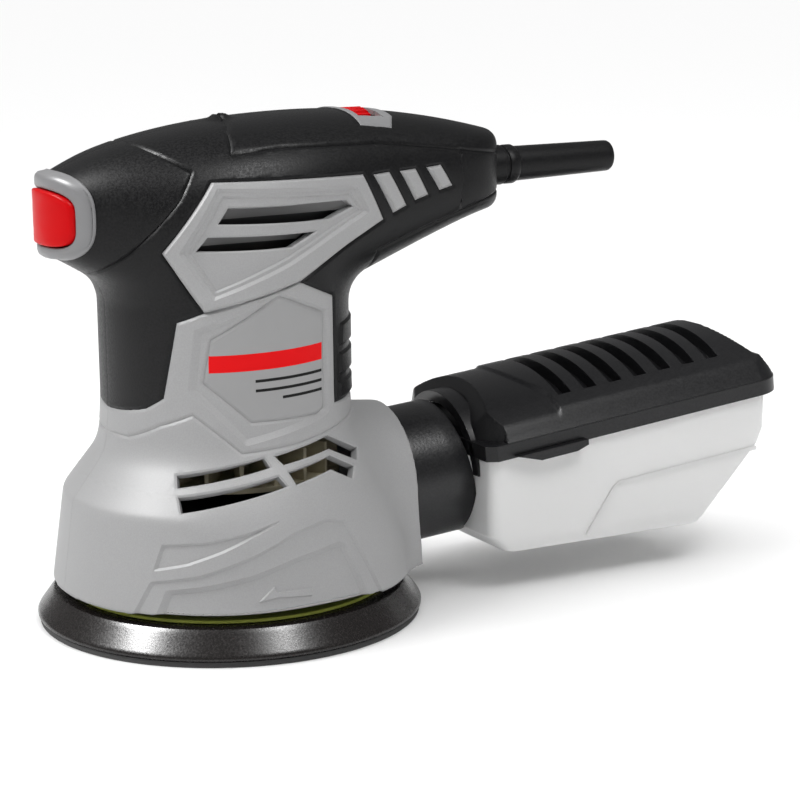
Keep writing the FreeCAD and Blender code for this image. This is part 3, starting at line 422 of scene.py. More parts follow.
# Round opening of the outlet in the collar's end, (y, z), as seen along X.
SOCKET_RADIUS = 23.5
SOCKET = [(SOCKET_RADIUS * math.cos(a), COLLAR_Z + SOCKET_RADIUS * math.sin(a))
          for a in full_turn(48)]
GROOVE_DEPTH = 0.55
GROOVE_WIDTH = 0.9
# How far the insert and the stripes stand out, and the dial's frame.
TRIM_RISE = 0.45
BEZEL_RISE = 0.5
# The halves end a little short of the middle plane; points beyond SEAM belong to that edge.
SEAM_Y = -0.05
SEAM = -0.12
# Wall thickness of the skins whose wall is not THIN_WALL.
WALLS = {"insert": 3.0, "skirt": 2.4, "neck": 2.2, "label": 1.0}
THIN_WALL = 1.6
# Edges of the skins sharper than this angle stay crisp.
SKIN_SHARP = 19
# Lift of the skirt's hem on each side, where the pad shows under it.
HEM_LIFT = 0.9
HEM_LIFT_X = 6.0
HEM_LIFT_WIDTH = 20.0


def signed_distance(outline, x, z):
    """Distance inside a closed outline, negative outside it."""
    near = np.full(len(x), 1e9)
    inside = np.zeros(len(x), bool)
    for (x0, z0), (x1, z1) in zip(outline, outline[1:] + outline[:1]):
        along = ((x - x0) * (x1 - x0) + (z - z0) * (z1 - z0)) / ((x1 - x0) ** 2 + (z1 - z0) ** 2)
        along = np.clip(along, 0, 1)
        near = np.minimum(near, np.hypot(x - x0 - along * (x1 - x0), z - z0 - along * (z1 - z0)))
        crosses = (z0 > z) != (z1 > z)
        level = z1 - z0 if z1 != z0 else 1.0
        inside ^= crosses & (x < (x1 - x0) * (z - z0) / level + x0)
    return np.where(inside, near, -near)


def is_clockwise(outline):
    """Whether an outline turns clockwise."""
    return sum((x1 - x0) * (z1 + z0)
               for (x0, z0), (x1, z1) in zip(outline, outline[1:] + outline[:1])) > 0


def score(mesh, outline, offsets, flat=(0, 2)):
    """Cut the mesh's faces along an outline and along lines beside it, offset inwards."""
    first, second = flat
    sign = -1 if is_clockwise(outline) else 1
    for (x0, z0), (x1, z1) in zip(outline, outline[1:] + outline[:1]):
        length = math.hypot(x1 - x0, z1 - z0)
        ux, uz = (x1 - x0) / length, (z1 - z0) / length
        inward = (-uz * sign, ux * sign)
        reach = 1.2 + max(abs(o) for o in offsets)
        chosen = []
        for face in mesh.faces:
            co = face.verts[0].co
            dx, dz = co[first] - x0, co[second] - z0
            if -reach - 0.6 < dx * ux + dz * uz < length + reach + 0.6 and \
                    abs(dx * inward[0] + dz * inward[1]) < reach + 1.2:
                chosen.append(face)
        if flat == (0, 1):
            chosen = [face for face in chosen if face.verts[0].co.z > HANDLE_TOP]
        if flat == (1, 2):
            chosen = [face for face in chosen if face.verts[0].co.x > COLLAR_FACE]
        for offset in offsets:
            point, normal = [0.0] * 3, [0.0] * 3
            point[first] = x0 + inward[0] * offset
            point[second] = z0 + inward[1] * offset
            normal[first], normal[second] = inward
            chosen = [face for face in chosen if face.is_valid]
            result = bisect(mesh, set(chosen), point, normal)
            chosen = [item for item in result["geom"] if isinstance(item, bmesh.types.BMFace)]


# ---------------------------------------------------------------- body pieces

def scored_body():
    """The left half with every outline cut into it and its relief raised."""
    mesh = body_mesh()
    grooves = [INSERT, NECK_PANEL, LABEL, NOSE, TOP_GRIP, UNDER_GRIP, LOWER_SHELL, *STRIPES]
    for outline in grooves:
        score(mesh, outline, (-GROOVE_WIDTH, -0.35, 0.0, 0.35, GROOVE_WIDTH))
    for outline, _, wall in RELIEF:
        score(mesh, outline, (0.0, wall))
    for outline in (UPPER_SLOT, LOWER_SLOT, *VENTS):
        score(mesh, outline, (0.0, -0.5))
    for outline in (BAND, *MARKS):
        score(mesh, outline, (0.0,))
    score(mesh, DIAL_BEZEL, (-0.5, 0.0, 0.5), flat=(0, 1))
    score(mesh, SOCKET, (0.0,), flat=(1, 2))
    for degrees in (-4, 4, 12, 20, 28, 36):
        across, along = math.sin(math.radians(degrees)), math.cos(math.radians(degrees))
        high = [face for face in mesh.faces
                if face.verts[0].co.z > 95.0 and face.verts[0].co.x < -44.0]
        bisect(mesh, high, (FRONT_BOW[0] - FRONT_BOW[1] * along, -FRONT_BOW[1] * across, 0),
               (-along, -across, 0), drop=True)
    low = [face for face in mesh.faces if face.verts[0].co.z < 30.0]
    bisect(mesh, low, (0, 0, SKIRT_LOW[0] + 0.5), (0, 0, -1), drop=True)
    bmesh.ops.remove_doubles(mesh, verts=mesh.verts, dist=0.07)
    bmesh.ops.dissolve_degenerate(mesh, edges=mesh.edges, dist=0.05)
    points = np.array([v.co for v in mesh.verts])
    _, normals = on_surface(body_field, points, rounds=0)
    x, z = points[:, 0], points[:, 2]
    height = np.zeros(len(points))
    for outline, rise, wall in RELIEF:
        height += rise * np.clip(signed_distance(outline, x, z) / wall, 0, 1)
    for outline in (INSERT, *STRIPES):
        height += TRIM_RISE * np.clip(signed_distance(outline, x, z) / GROOVE_WIDTH, 0, 1)
    for outline in grooves:
        near = np.abs(signed_distance(outline, x, z)) + np.where(z < 60.0, GROOVE_WIDTH, 0)
        height -= GROOVE_DEPTH * np.clip(1 - near / GROOVE_WIDTH, 0, 1) ** 1.6
    for outline in (UPPER_SLOT, LOWER_SLOT, *VENTS):
        near = -signed_distance(outline, x, z)
        height -= 0.35 * np.clip(1 - near / 0.5, 0, 1)
    on_top = (normals[:, 2] > 0.7) & (z > HANDLE_TOP)
    bezel = signed_distance(DIAL_BEZEL, x, points[:, 1])
    height += np.where(on_top, BEZEL_RISE * np.clip(bezel / 0.5 + 0.5, 0, 1), 0)
    height[points[:, 1] > -0.3] -= 0.12
    side = np.clip((-normals[:, 1] - 0.02) / 0.08, 0, 1)
    height = np.where(on_top & (bezel > -1), height, height * np.maximum(side, 0.3))
    lift = HEM_LIFT * np.exp(-((x - HEM_LIFT_X) / HEM_LIFT_WIDTH) ** 2)
    lift *= np.clip(1 - (z - SKIRT_LOW[0] - 0.5) / 3.0, 0, 1)
    points[:, 2] += np.where((points[:, 1] < -30.0) & (z < 17.0), lift, 0)
    seam = points[:, 1] > SEAM
    points[seam, 1] = SEAM_Y
    shift = normals * height[:, None]
    shift[seam, 1] = 0
    return mesh, points + shift, normals


def body_pieces():
    """Each region of the left half as its own closed mesh object with a wall."""
    mesh, points, normals = scored_body()
    centres = np.array([face.calc_center_median() for face in mesh.faces])
    ups = np.array([face.normal.z > 0.5 for face in mesh.faces])
    x, y, z = centres.T
    region = np.full(len(centres), "cover", dtype=object)
    order = (("stripe_3", STRIPES[2]), ("stripe_2", STRIPES[1]), ("stripe_1", STRIPES[0]),
             ("under", UNDER_GRIP), ("top", TOP_GRIP), ("nose", NOSE), ("neck", NECK_PANEL),
             ("label", LABEL), ("skirt", LOWER_SHELL), ("insert", INSERT))
    for name, outline in order:
        region[signed_distance(outline, x, z) > 0] = name
    bezel = ups & (z > HANDLE_TOP) & (signed_distance(DIAL_BEZEL, x, y) > 0)
    region[bezel] = "bezel"
    region[bezel & (np.abs(x - 45.0) < 4.8) & (np.abs(y) < 14.2)] = "open"
    for outline in (UPPER_SLOT, LOWER_SLOT, *VENTS):
        region[signed_distance(outline, x, z) > 0] = "open"
    region[(x > COLLAR_FACE) & (signed_distance(SOCKET, y, z) > 0)] = "open"
    loops = [[vert.index for vert in face.verts] for face in mesh.faces]
    flat = np.array([v.co for v in mesh.verts])
    depth = signed_distance(INSERT, flat[:, 0], flat[:, 2])
    for index in np.nonzero(region == "insert")[0]:
        if depth[loops[index]].min() < -0.4:
            region[index] = "cover"
    mesh.free()
    found = {name: shell_piece(name, points, normals, WALLS.get(name, THIN_WALL),
                               [loops[i] for i in np.nonzero(region == name)[0]])
             for name in sorted(set(region) - {"open"})}
    on_label = np.nonzero(region == "label")[0]
    ink = np.zeros(len(centres), int)
    ink[signed_distance(BAND, x, z) > 0] = 1
    for outline in MARKS:
        ink[signed_distance(outline, x, z) > 0] = 2
    for face, index in zip(found["label"].data.polygons, on_label):
        face.material_index = int(ink[index])
    return found


def shell_piece(name, points, normals, wall, loops):
    """A closed shell: the given outer faces, the same faces a wall further in, and a rim."""
    used = sorted({index for loop in loops for index in loop})
    number = {index: order for order, index in enumerate(used)}
    outer = points[used]
    inner = outer - normals[used] * wall
    inner[outer[:, 1] > SEAM, 1] = SEAM_Y
    count = len(used)
    sides = [(number[a], number[b]) for loop in loops for a, b in zip(loop, loop[1:] + loop[:1])]
    present = set(sides)
    faces = [[number[i] for i in loop] for loop in loops]
    faces += [[number[i] + count for i in reversed(loop)] for loop in loops]
    faces += [(b, a, a + count, b + count) for a, b in sides if (b, a) not in present]
    data = bpy.data.meshes.new(name)
    data.from_pydata([tuple(p * MM) for p in np.vstack([outer, inner])], [], faces)
    data.update()
    data.shade_smooth()
    data.set_sharp_from_angle(angle=math.radians(SKIN_SHARP))
    return new_object(name, data)


def right_copy(thing, name):
    """The same piece on the right side."""
    data = thing.data.copy()
    data.transform(Matrix.Scale(-1, 4, Vector((0, 1, 0))))
    data.flip_normals()
    return new_object(name, data)


# ---------------------------------------------------------------- materials

def material(name, colour, roughness, **values):
    """A material with uniform values set directly on its shader."""
    made = bpy.data.materials.new(name)
    made.use_nodes = True
    shader = made.node_tree.nodes["Principled BSDF"]
    shader.inputs["Base Color"].default_value = (*colour, 1)
    shader.inputs["Roughness"].default_value = roughness
    for key, value in values.items():
        shader.inputs[key.replace("_", " ")].default_value = value
    return made


def noise(made, scale, detail=2.0):
    """A noise texture in object space."""
    tree = made.node_tree
    place = tree.nodes.new("ShaderNodeTexCoord")
    texture = tree.nodes.new("ShaderNodeTexNoise")
    texture.inputs["Scale"].default_value = scale
    texture.inputs["Detail"].default_value = detail
    tree.links.new(place.outputs["Object"], texture.inputs["Vector"])
    return texture.outputs["Fac"]


def spread(made, source, low, high, start=0.35, end=0.65):
    """Map a value onto a range of numbers."""
    ramp = made.node_tree.nodes.new("ShaderNodeMapRange")
    for key, value in (("From Min", start), ("From Max", end), ("To Min", low), ("To Max", high)):
        ramp.inputs[key].default_value = value
    made.node_tree.links.new(source, ramp.inputs["Value"])
    return ramp.outputs["Result"]


def mixed(made, source, first, second):
    """A colour between two by a value."""
    mix = made.node_tree.nodes.new("ShaderNodeMix")
    mix.data_type = "RGBA"
    mix.inputs["A"].default_value = (*first, 1)
    mix.inputs["B"].default_value = (*second, 1)
    made.node_tree.links.new(source, mix.inputs["Factor"])
    return mix.outputs["Result"]


def grained(made, scale, strength, edge=0.35, depth=0.02):
    """Fine moulded grain over edges that catch the light as if rounded."""
    tree = made.node_tree
    bump = tree.nodes.new("ShaderNodeBump")
    bump.inputs["Strength"].default_value = strength
    bump.inputs["Distance"].default_value = depth * MM
    tree.links.new(noise(made, scale, 3.0), bump.inputs["Height"])
    if edge:
        bevel = tree.nodes.new("ShaderNodeBevel")
        bevel.samples = 4
        bevel.inputs["Radius"].default_value = edge * MM
        tree.links.new(bevel.outputs["Normal"], bump.inputs["Normal"])
    tree.links.new(bump.outputs["Normal"], tree.nodes["Principled BSDF"].inputs["Normal"])
    return made


def tinted(made, scale, first, second, rough_low, rough_high):
    """Slight unevenness of colour and gloss."""
    tree = made.node_tree
    shader = tree.nodes["Principled BSDF"]
    fine = noise(made, scale, 4.0)
    tree.links.new(mixed(made, spread(made, fine, 0, 1), first, second),
                   shader.inputs["Base Color"])
    tree.links.new(spread(made, fine, rough_low, rough_high), shader.inputs["Roughness"])
    return made


GREY = grained(tinted(material("grey_plastic", (0.33, 0.33, 0.335), 0.45), 2400,
                      (0.318, 0.318, 0.321), (0.346, 0.346, 0.349), 0.50, 0.58),
               3000, 0.2, edge=0.15)
TRIM = grained(material("trim_plastic", (0.215, 0.215, 0.22), 0.40), 2600, 0.2)
SOFT = grained(tinted(material("black_soft", (0.006, 0.006, 0.006), 0.5,
                               Specular_IOR_Level=0.20), 1500,
                      (0.004, 0.004, 0.0045), (0.008, 0.008, 0.0085), 0.36, 0.50),
               1500, 0.8, edge=0.15, depth=0.05)
BLACK = grained(tinted(material("black_plastic", (0.009, 0.009, 0.010), 0.4,
                                Specular_IOR_Level=0.34), 1500,
                       (0.007, 0.007, 0.008), (0.012, 0.012, 0.013), 0.28, 0.38),
                1800, 0.6, depth=0.03)
TUBE_BLACK = grained(tinted(material("tube_black", (0.010, 0.010, 0.011), 0.4,
                                     Specular_IOR_Level=0.4), 1500,
                            (0.008, 0.008, 0.009), (0.014, 0.014, 0.015), 0.28, 0.38),
                     1100, 0.9, depth=0.06)
RED = grained(material("red_plastic", (0.58, 0.001, 0.003), 0.36, Specular_IOR_Level=0.09),
              500, 0.05)
LABEL_GREY = material("label_film", (0.32, 0.32, 0.322), 0.5, Specular_IOR_Level=0.2)
LABEL_RED = material("label_red", (0.74, 0.006, 0.008), 0.5, Specular_IOR_Level=0.08)
LABEL_INK = material("label_ink", (0.012, 0.012, 0.012), 0.6, Specular_IOR_Level=0.1)
CLEAR = material("clear_white", (0.97, 0.97, 0.965), 0.30, Transmission_Weight=0.15, IOR=1.30,
                 Subsurface_Weight=0.4, Subsurface_Scale=0.006,
                 Subsurface_Radius=(1.0, 1.0, 1.0))
PAD = grained(tinted(material("pad_black", (0.010, 0.008, 0.008), 0.3), 1600,
                     (0.007, 0.006, 0.0055), (0.014, 0.011, 0.0105), 0.22, 0.30),
              1800, 0.6, depth=0.03)
YELLOW = material("yellow_plate", (0.50, 0.56, 0.10), 0.45)
# Colour of the dark inner plastic. It also paints shade as the dark sheet behind the insert's
# slots.
DARK = material("inner_plastic", (0.018, 0.018, 0.019), 0.5)
# Grey plastic of the louvre blades, painted darker than GREY as painted shade behind the slots.
SHADED_BLADE = material("louvre_grey", (0.16, 0.16, 0.16), 0.5)
BEIGE = grained(material("beige_nylon", (0.52, 0.47, 0.33), 0.5), 900, 0.2)

# The finishes are named after the material slots in model.glb; Blender may add a number.
SLOT_FINISH = {made.name.split(".")[0]: made for made in (
    GREY, BLACK, SOFT, LABEL_GREY, RED, CLEAR, PAD, YELLOW, DARK, BEIGE)}
# Plain finishes of parts that are hardly seen: colour, roughness, metallic.
for slot, colour, roughness, metallic in (
        ("hook_face", (0.05, 0.05, 0.05), 0.9, 0.0), ("steel", (0.55, 0.55, 0.56), 0.3, 1.0),
        ("copper", (0.6, 0.26, 0.12), 0.35, 1.0), ("brass", (0.62, 0.45, 0.2), 0.35, 1.0),
        ("carbon", (0.02, 0.02, 0.02), 0.6, 0.0), ("cast_alloy", (0.45, 0.45, 0.46), 0.45, 0.9),
        ("board", (0.03, 0.16, 0.07), 0.5, 0.0), ("filter_felt", (0.62, 0.60, 0.55), 0.95, 0.0)):
    SLOT_FINISH[slot] = material(slot, colour, roughness, Metallic=metallic)


def paint(thing, *finishes):
    """Put materials in an object's slots; its faces keep their slot numbers."""
    used = [face.material_index for face in thing.data.polygons]
    thing.data.materials.clear()
    for finish in finishes:
        thing.data.materials.append(finish)
    thing.data.polygons.foreach_set("material_index", used)


def place(thing, name, body, slot, finish, nodes):
    """Name a finished piece, paint it, and let it stand for its CAD nodes."""
    thing.name = name
    paint(thing, *(finish if isinstance(finish, tuple) else (finish,)))
    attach(thing, body)
    if nodes:
        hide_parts(*nodes)
    return thing


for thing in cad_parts.values():
    for index, used in enumerate(thing.data.materials):
        stem = used.name.split(".")[0] if used else ""
        if stem in SLOT_FINISH:
            thing.data.materials[index] = SLOT_FINISH[stem]


# ---------------------------------------------------------------- body on the frame

def assemble_body():
    """Both halves of the body, on the frame."""
    found = body_pieces()
    socket = outlet_arc("socket", np.linspace(90, 240, 40),
                        ((23.35, -40.0), (24.1, -40.0), (24.1, -16.0), (23.35, -16.0)))
    found["skirt"] = join("skirt", [found["skirt"], socket])
    found["skirt"].data.set_sharp_from_angle(angle=math.radians(SKIN_SHARP))
    plan = [(region, node + "_{}_shell", node + "_{}", slot, finish)
            for region, node, slot, finish in (
                ("neck", "housing", "grey_plastic", GREY),
                ("cover", "handle_cover", "black_plastic", SOFT),
                ("nose", "nose_grip", "black_soft", SOFT),
                ("insert", "vent_insert", "grey_plastic", GREY),
                ("label", "label", "label_film", (LABEL_GREY, LABEL_RED, LABEL_INK)),
                ("skirt", "skirt", "grey_plastic", GREY))]
    plan += [(f"stripe_{number}", f"stripe_{{}}_{number}", f"handle_stripe_{{}}_{number}",
              "grey_plastic", GREY) for number in (1, 2, 3)]
    for region, name, node, slot, finish in plan:
        left = found.pop(region)
        for side, shell in (("left", left), ("right", right_copy(left, region))):
            place(shell, name.format(side), "housing", slot, finish, [node.format(side)])
    for region, node, slot, finish in (("top", "top_grip", "black_soft", SOFT),
                                       ("under", "under_grip", "black_soft", SOFT),
                                       ("bezel", "dial_bezel", "grey_plastic", TRIM)):
        left = found.pop(region)
        both = join(node, [left, right_copy(left, "right")])
        place(both, f"{node}_skin", "housing", slot, finish, [node])


assemble_body()


# ---------------------------------------------------------------- pad

def pad_pieces():
    """Rubber-edged foam pad, its yellow back plate and the hook face."""
    axis = -1.25
    edge = [(61.9, 1.9), (62.45, 2.3), (62.5, 2.9), (62.2, 3.5)]
    slope = [(62.2 - 4.9 * t, 3.5 + 6.7 * t) for t in np.linspace(0.08, 0.97, 9)]
    foam = turned("foam", [(30.0, 1.75), (61.4, 1.75)] + edge + slope
                  + [(57.0, 10.5), (56.2, 10.68), (30.0, 10.68)], 192, True, axis)
    place(foam, "pad_foam_bevel", "pad", "pad_black", PAD, ["pad_foam"])
    plate = turned("plate", [(20.0, 10.75), (52.0, 10.75), (52.4, 11.0), (52.45, 11.5),
                             (52.1, 11.85), (20.0, 11.85)], 160, True, axis)
    place(plate, "backing_plate_disc", "pad", "yellow_plate", YELLOW, ["backing_plate"])


# ---------------------------------------------------------------- nose rocker and dial

def bowed(y, centre, radius):
    """The front of an upright cylinder at y."""
    return centre - math.sqrt(max(radius * radius - y * y, 0.0))


def bowed_ring(centre, radius, behind, half, low, high, power, sink=0.0):
    """A rounded rectangle wrapped on an upright cylinder, its top sinking to the sides."""
    middle = (low + high) / 2
    return [(bowed(y, centre, radius) + behind, y,
             z - sink * max(z - middle, 0.0) * (y / half) ** 2)
            for _, y, z in squircle(0.0, half, low, high, power)]


def rocker_pieces():
    """The grey frame on the nose and its red rocker cap, both bowed in plan."""
    back, front = FRONT_BOW, (-38.0, 23.0)
    rings = [
        bowed_ring(*back, 2.5, 15.0, 124.1, 141.7, 4.6, 0.17),
        bowed_ring(*back, 0.4, 19.2, 119.9, 146.7, 2.9),
        bowed_ring(*back, -0.2, 19.35, 119.7, 146.9, 2.9),
        bowed_ring(*back, -0.6, 19.1, 119.9, 146.7, 2.9),
        bowed_ring(*front, 1.2, 18.7, 120.3, 146.3, 3.0),
        bowed_ring(*front, 0.3, 18.0, 121.0, 145.5, 3.2, 0.04),
        bowed_ring(*front, 0.0, 17.2, 121.9, 144.6, 3.6, 0.08),
        bowed_ring(*front, 0.0, 15.6, 123.4, 142.5, 4.4, 0.15),
        bowed_ring(*front, 0.3, 15.15, 123.9, 141.9, 4.6, 0.17),
        bowed_ring(*front, 3.5, 15.0, 124.1, 141.7, 4.6, 0.17),
    ]
    place(loft("frame", rings, True), "rocker_frame_ring", "housing", "grey_plastic", TRIM,
          ["rocker_frame"])
    middle, half, rise = 132.9, 14.75, 8.5
    cap_rings = [bowed_ring(-38.0, 23.9, behind, half * scale, middle - rise * scale,
                            middle + rise * scale, 4.6, 0.17)
                 for behind, scale in ((3.4, 0.99), (0.9, 1.0), (0.35, 0.99), (0.1, 0.965),
                                       (0.0, 0.93), (0.0, 0.75), (0.0, 0.5), (0.0, 0.25),
                                       (0.0, 0.08))]
    place(loft("cap", cap_rings), "rocker_cap_face", "rocker", "red_plastic", RED,
          ["rocker_cap"])


# The dial's wheel: x of its middle, height of its axle and number of ribs.
DIAL_X = 45.0
DIAL_Z = 148.0
DIAL_RIBS = 36


def dial_piece():
    """The ribbed wheel of the speed dial on its axle."""
    turn = full_turn(8 * DIAL_RIBS)
    ribs = np.clip(np.cos(DIAL_RIBS * turn) * 1.6, -1, 1)
    rings = []
    for x, reach, depth in ((-4.15, 12.4, 0.0), (-4.15, 12.9, 0.1), (-3.6, 13.1, 0.38),
                            (3.6, 13.1, 0.38), (4.15, 12.9, 0.1), (4.15, 12.4, 0.0)):
        radius = reach + depth * ribs
        rings.append([(DIAL_X + x, r * math.sin(a), DIAL_Z + r * math.cos(a))
                      for r, a in zip(radius, turn)])
    wheel = loft("wheel", rings)
    axle = loft("axle", [[(x, 2.0 * math.sin(a), DIAL_Z + 2.0 * math.cos(a))
                          for a in full_turn(32)] for x in (37.1, 52.9)])
    place(join("dial", [wheel, axle]), "speed_dial_wheel", "dial", "red_plastic", RED,
          ["speed_dial"])


# ---------------------------------------------------------------- louvres and painted shade behind the slots

def louvre_pieces():
    """Painted shade behind the insert's slots: a dark sheet where only shade falls, and a blade
    over each slot painted darker than the grey plastic it is.
    """
    blades = ([(-26.0, 131.9), (-24.0, 140.0), (36.0, 140.0), (36.0, 132.6), (12.0, 132.2)],
              [(-25.0, 124.4), (-23.0, 129.0), (18.0, 129.0), (11.0, 124.4)])
    liner = [(-27.0, 118.5), (-27.0, 141.0), (34.0, 141.0), (34.0, 118.5)]
    for side, name in ((-1, "left"), (1, "right")):
        sheets = [loft("blade", [[(x, side * y, z) for x, z in blade] for y in (28.4, 29.2)])
                  for blade in blades]
        grey = join("blades", sheets)
        # Blades of grey plastic painted at about half its brightness, as painted shade.
        place(grey, f"louvre_{name}", "housing", "grey_plastic", SHADED_BLADE, [])
        # Painted shade: a dark sheet placed behind the slots, where only shade falls.
        shade_sheet = loft("liner", [[(x, side * y, z) for x, z in liner] for y in (25.4, 26.2)])
        place(shade_sheet, f"liner_{name}", "housing", "inner_plastic", DARK, [])


# ---------------------------------------------------------------- cord sleeve

def sleeve_piece():
    """The tapered rubber sleeve, with its rings at the root."""
    tilt = math.radians(1.1)
    along = np.array((math.cos(tilt), 0.0, math.sin(tilt)))
    over = np.array((-math.sin(tilt), 0.0, math.cos(tilt)))
    start = np.array((99.4, 0.0, 139.6))
    profile = [(3.4, -8.0), (6.6, -8.0), (6.7, -7.0), (6.7, 1.4), (6.4, 1.8), (6.0, 1.9),
               (6.0, 2.7), (6.4, 2.8), (6.6, 3.2), (6.6, 5.8), (6.3, 6.4), (5.9, 6.9)]
    profile += [(5.9 - 0.62 * t, 6.9 + 36.6 * t) for t in np.linspace(0.1, 1.0, 8)]
    profile += [(5.2, 44.3), (4.9, 44.8), (3.8, 44.95), (3.4, 44.6)]
    rings = [[start + along * s + r * (math.cos(a) * SIDEWAYS + math.sin(a) * over)
              for a in full_turn(64)] for r, s in profile]
    place(loft("sleeve", rings, True), "cord_sleeve", "housing", "black_soft", SOFT,
          ["cord_guard"])


# ---------------------------------------------------------------- dust outlet, box and lid

def outlet_ring(radius, distance, lean=0.0, steps=128):
    """A circle about the outlet's axis, its plane leaning back at the top."""
    return [OUTLET + OUTLET_AXIS * (distance - lean * math.sin(a) * radius)
            + radius * (math.cos(a) * SIDEWAYS + math.sin(a) * OUTLET_UP)
            for a in full_turn(steps)]


def tube_piece():
    """The black adapter tube between the collar and the box, its far end leaning back."""
    rings = [outlet_ring(r, s) for r, s in ((22.9, -20.0), (23.2, -19.6), (23.2, -14.4),
                                            (22.9, -14.2), (22.9, -13.7), (23.2, -13.5))]
    rings += [outlet_ring(23.2, s, TUBE_LEAN * (s + 13.5) / 21.5) for s in (-6.0, 1.0, 7.2)]
    rings += [outlet_ring(r, s, TUBE_LEAN)
              for r, s in ((23.0, 7.8), (22.5, 8.0), (21.6, 8.0), (21.4, 7.6))]
    rings.append(outlet_ring(21.4, -20.0))
    place(loft("tube", rings, True), "adapter_tube_sleeve", "dust_unit", "black_plastic",
          TUBE_BLACK, ["adapter_tube"])


# Lid: its front edge's middle, tilt, length, half width and row of seven slots.
BOX_FRONT = 77.3
LID_ORIGIN = np.array((BOX_FRONT, 0.0, 46.0))
LID_TILT = math.radians(5.9)
LID_ALONG = np.array((math.cos(LID_TILT), 0.0, math.sin(LID_TILT)))
LID_UP = np.array((-math.sin(LID_TILT), 0.0, math.cos(LID_TILT)))
LID_LENGTH = 122.0
LID_HALF = 35.0
SLOT_COUNT = 7
SLOT_FIRST = 36.0
SLOT_PITCH = 10.25
SLOT_WIDTH = 5.2
SLOT_REACH = 25.5
SLOT_DEPTH = 4.4
# Height above the rim of the lid's upright wall, and of the middle of its top.
RIM_HEIGHT = 5.2
DOME_HEIGHT = 21.8
DOME_RADIUS = 49.9
# How much the tube's far end leans back per unit of radius.
TUBE_LEAN = 0.122


def in_lid(u, v, h):
    """A point of the lid's own frame in the part's frame."""
    return LID_ORIGIN + LID_ALONG * u + LID_UP * h + np.array((0.0, v, 0.0))


def lid_half(u):
    """Half width of the lid's plan at a station."""
    width = LID_HALF
    if u < 3.0:
        width -= 3.0 - u
    if u > LID_LENGTH - 10.0:
        width -= 10.0 - math.sqrt(max(100.0 - (u - LID_LENGTH + 10.0) ** 2, 0.0))
    return width


def lid_height(u, v, edge):
    """Height of the lid's outside: bevel, arched top, front step and far slope."""
    reach = abs(v)
    bevel = RIM_HEIGHT + (edge - 0.5) * 1.47
    dome = DOME_HEIGHT - (DOME_RADIUS - math.sqrt(DOME_RADIUS ** 2 - reach * reach))
    step_at = 31.0 - 8.0 * (1 - min(reach / 24.0, 1.0) ** 2)
    dome -= 0.8 * min(max((step_at - u) / 1.2, 0.0), 1.0)
    front = RIM_HEIGHT + 3.6 * (u - 0.5 - 4.6 * min(reach / 29.0, 1.1) ** 4)
    far = DOME_HEIGHT - (u - 107.0) * 1.15 if u > 107.0 else 30.0
    far = max(far, 13.0 if u < 116.0 else 13.0 - (u - 116.0) * 1.45)
    return max(min(bevel, dome, front, far), RIM_HEIGHT)


def lid_piece():
    """The black lid: rim, bevel, slotted top, and the arch with its collar over the tube."""
    stations = [0.0, 0.5, 1.0, 1.6, 2.3, 3.0, 3.8, 4.6, 5.4, 6.2, 7.2, 8.4, 10.0]
    stations += list(np.arange(0.5, 33.0, 0.5))
    for number in range(SLOT_COUNT):
        middle = SLOT_FIRST + SLOT_PITCH * number
        low, high = middle - SLOT_WIDTH / 2, middle + SLOT_WIDTH / 2
        stations += [low - 1.2, low - 0.35, low, low + 0.15, middle, high - 0.15, high,
                     high + 0.35, high + 1.2]
    stations += list(np.arange(102.2, LID_LENGTH - 0.3, 0.5))
    stations += [LID_LENGTH - 0.4, LID_LENGTH - 0.1]
    stations = sorted(set(round(float(u), 2) for u in stations))
    inner = list(range(25)) + [25.2, 25.35, 25.5, 26.2, 27, 28, 28.6, 29, 29.4, 30, 31, 32,
                               33, 34, 34.6, 35]
    columns = [-v for v in reversed(inner[1:])] + inner
    rows = []
    for u in stations:
        half = lid_half(u)
        row = []
        for column in columns:
            v = column / LID_HALF * half
            bow = 2.0 * (v / LID_HALF) ** 2 * max(u - 60.0, 0.0) / 62.0
            edge = min(half - abs(v), u + 1.0, LID_LENGTH - u)
            h = lid_height(u, v, edge)
            in_slot = any(abs(u - SLOT_FIRST - SLOT_PITCH * n) < SLOT_WIDTH / 2 - 0.05
                          for n in range(SLOT_COUNT))
            if in_slot and abs(v) < SLOT_REACH - 0.1:
                h -= SLOT_DEPTH
            row.append((u - bow, v, h))
        rows.append([(row[0][0], row[0][1], 0.0)] + row + [(row[-1][0], row[-1][1], 0.0)])
    first = [(u, v, 0.0) for u, v, _ in rows[0]]
    last = [(u, v, 0.0) for u, v, _ in rows[-1]]
    rows = [first] + rows + [last]
    points = [in_lid(*point) for row in rows for point in row]
    lid = build("lid", points, grid_faces(len(rows), len(rows[0]), False))
    opening = loft("opening", [outlet_ring(24.9, -30.0), outlet_ring(24.9, 13.5)])
    hollow(lid, 1.7, opening, "FAST")
    hood = outlet_arc("hood", np.linspace(2, 178, 46),
                      ((21.8, 8.2), (25.6, 8.2), (25.6, 14.0), (23.6, 14.0), (23.6, 8.5),
                       (21.8, 8.5)))
    lid = join("lid", [lid, hood])
    lid.data.set_sharp_from_angle(angle=math.radians(24))
    place(lid, "dust_lid_shell", "lid", "black_plastic", BLACK, ["dust_lid"])


def box_ring(front, back, half, level, radius=4.0, tilt=0.0):
    """A rounded rectangle in plan, level or following the lid's tilt."""
    points = []
    for cx, cy, start in ((back - radius, half - radius, 0), (front + radius, half - radius, 90),
                          (front + radius, -half + radius, 180),
                          (back - radius, -half + radius, 270)):
        for step in range(9):
            a = math.radians(start + 90 * step / 8)
            x = cx + radius * math.cos(a)
            points.append((x, cy + radius * math.sin(a), level + tilt * (x - BOX_FRONT)))
    return points


# Raised line on the box's side, (x, z), and half its width.
RIB = ((116.1, 16.2), (126.6, 31.0), (128.6, 32.8), (169.4, 36.8), (186.2, 38.4))
RIB_HALF = 0.75


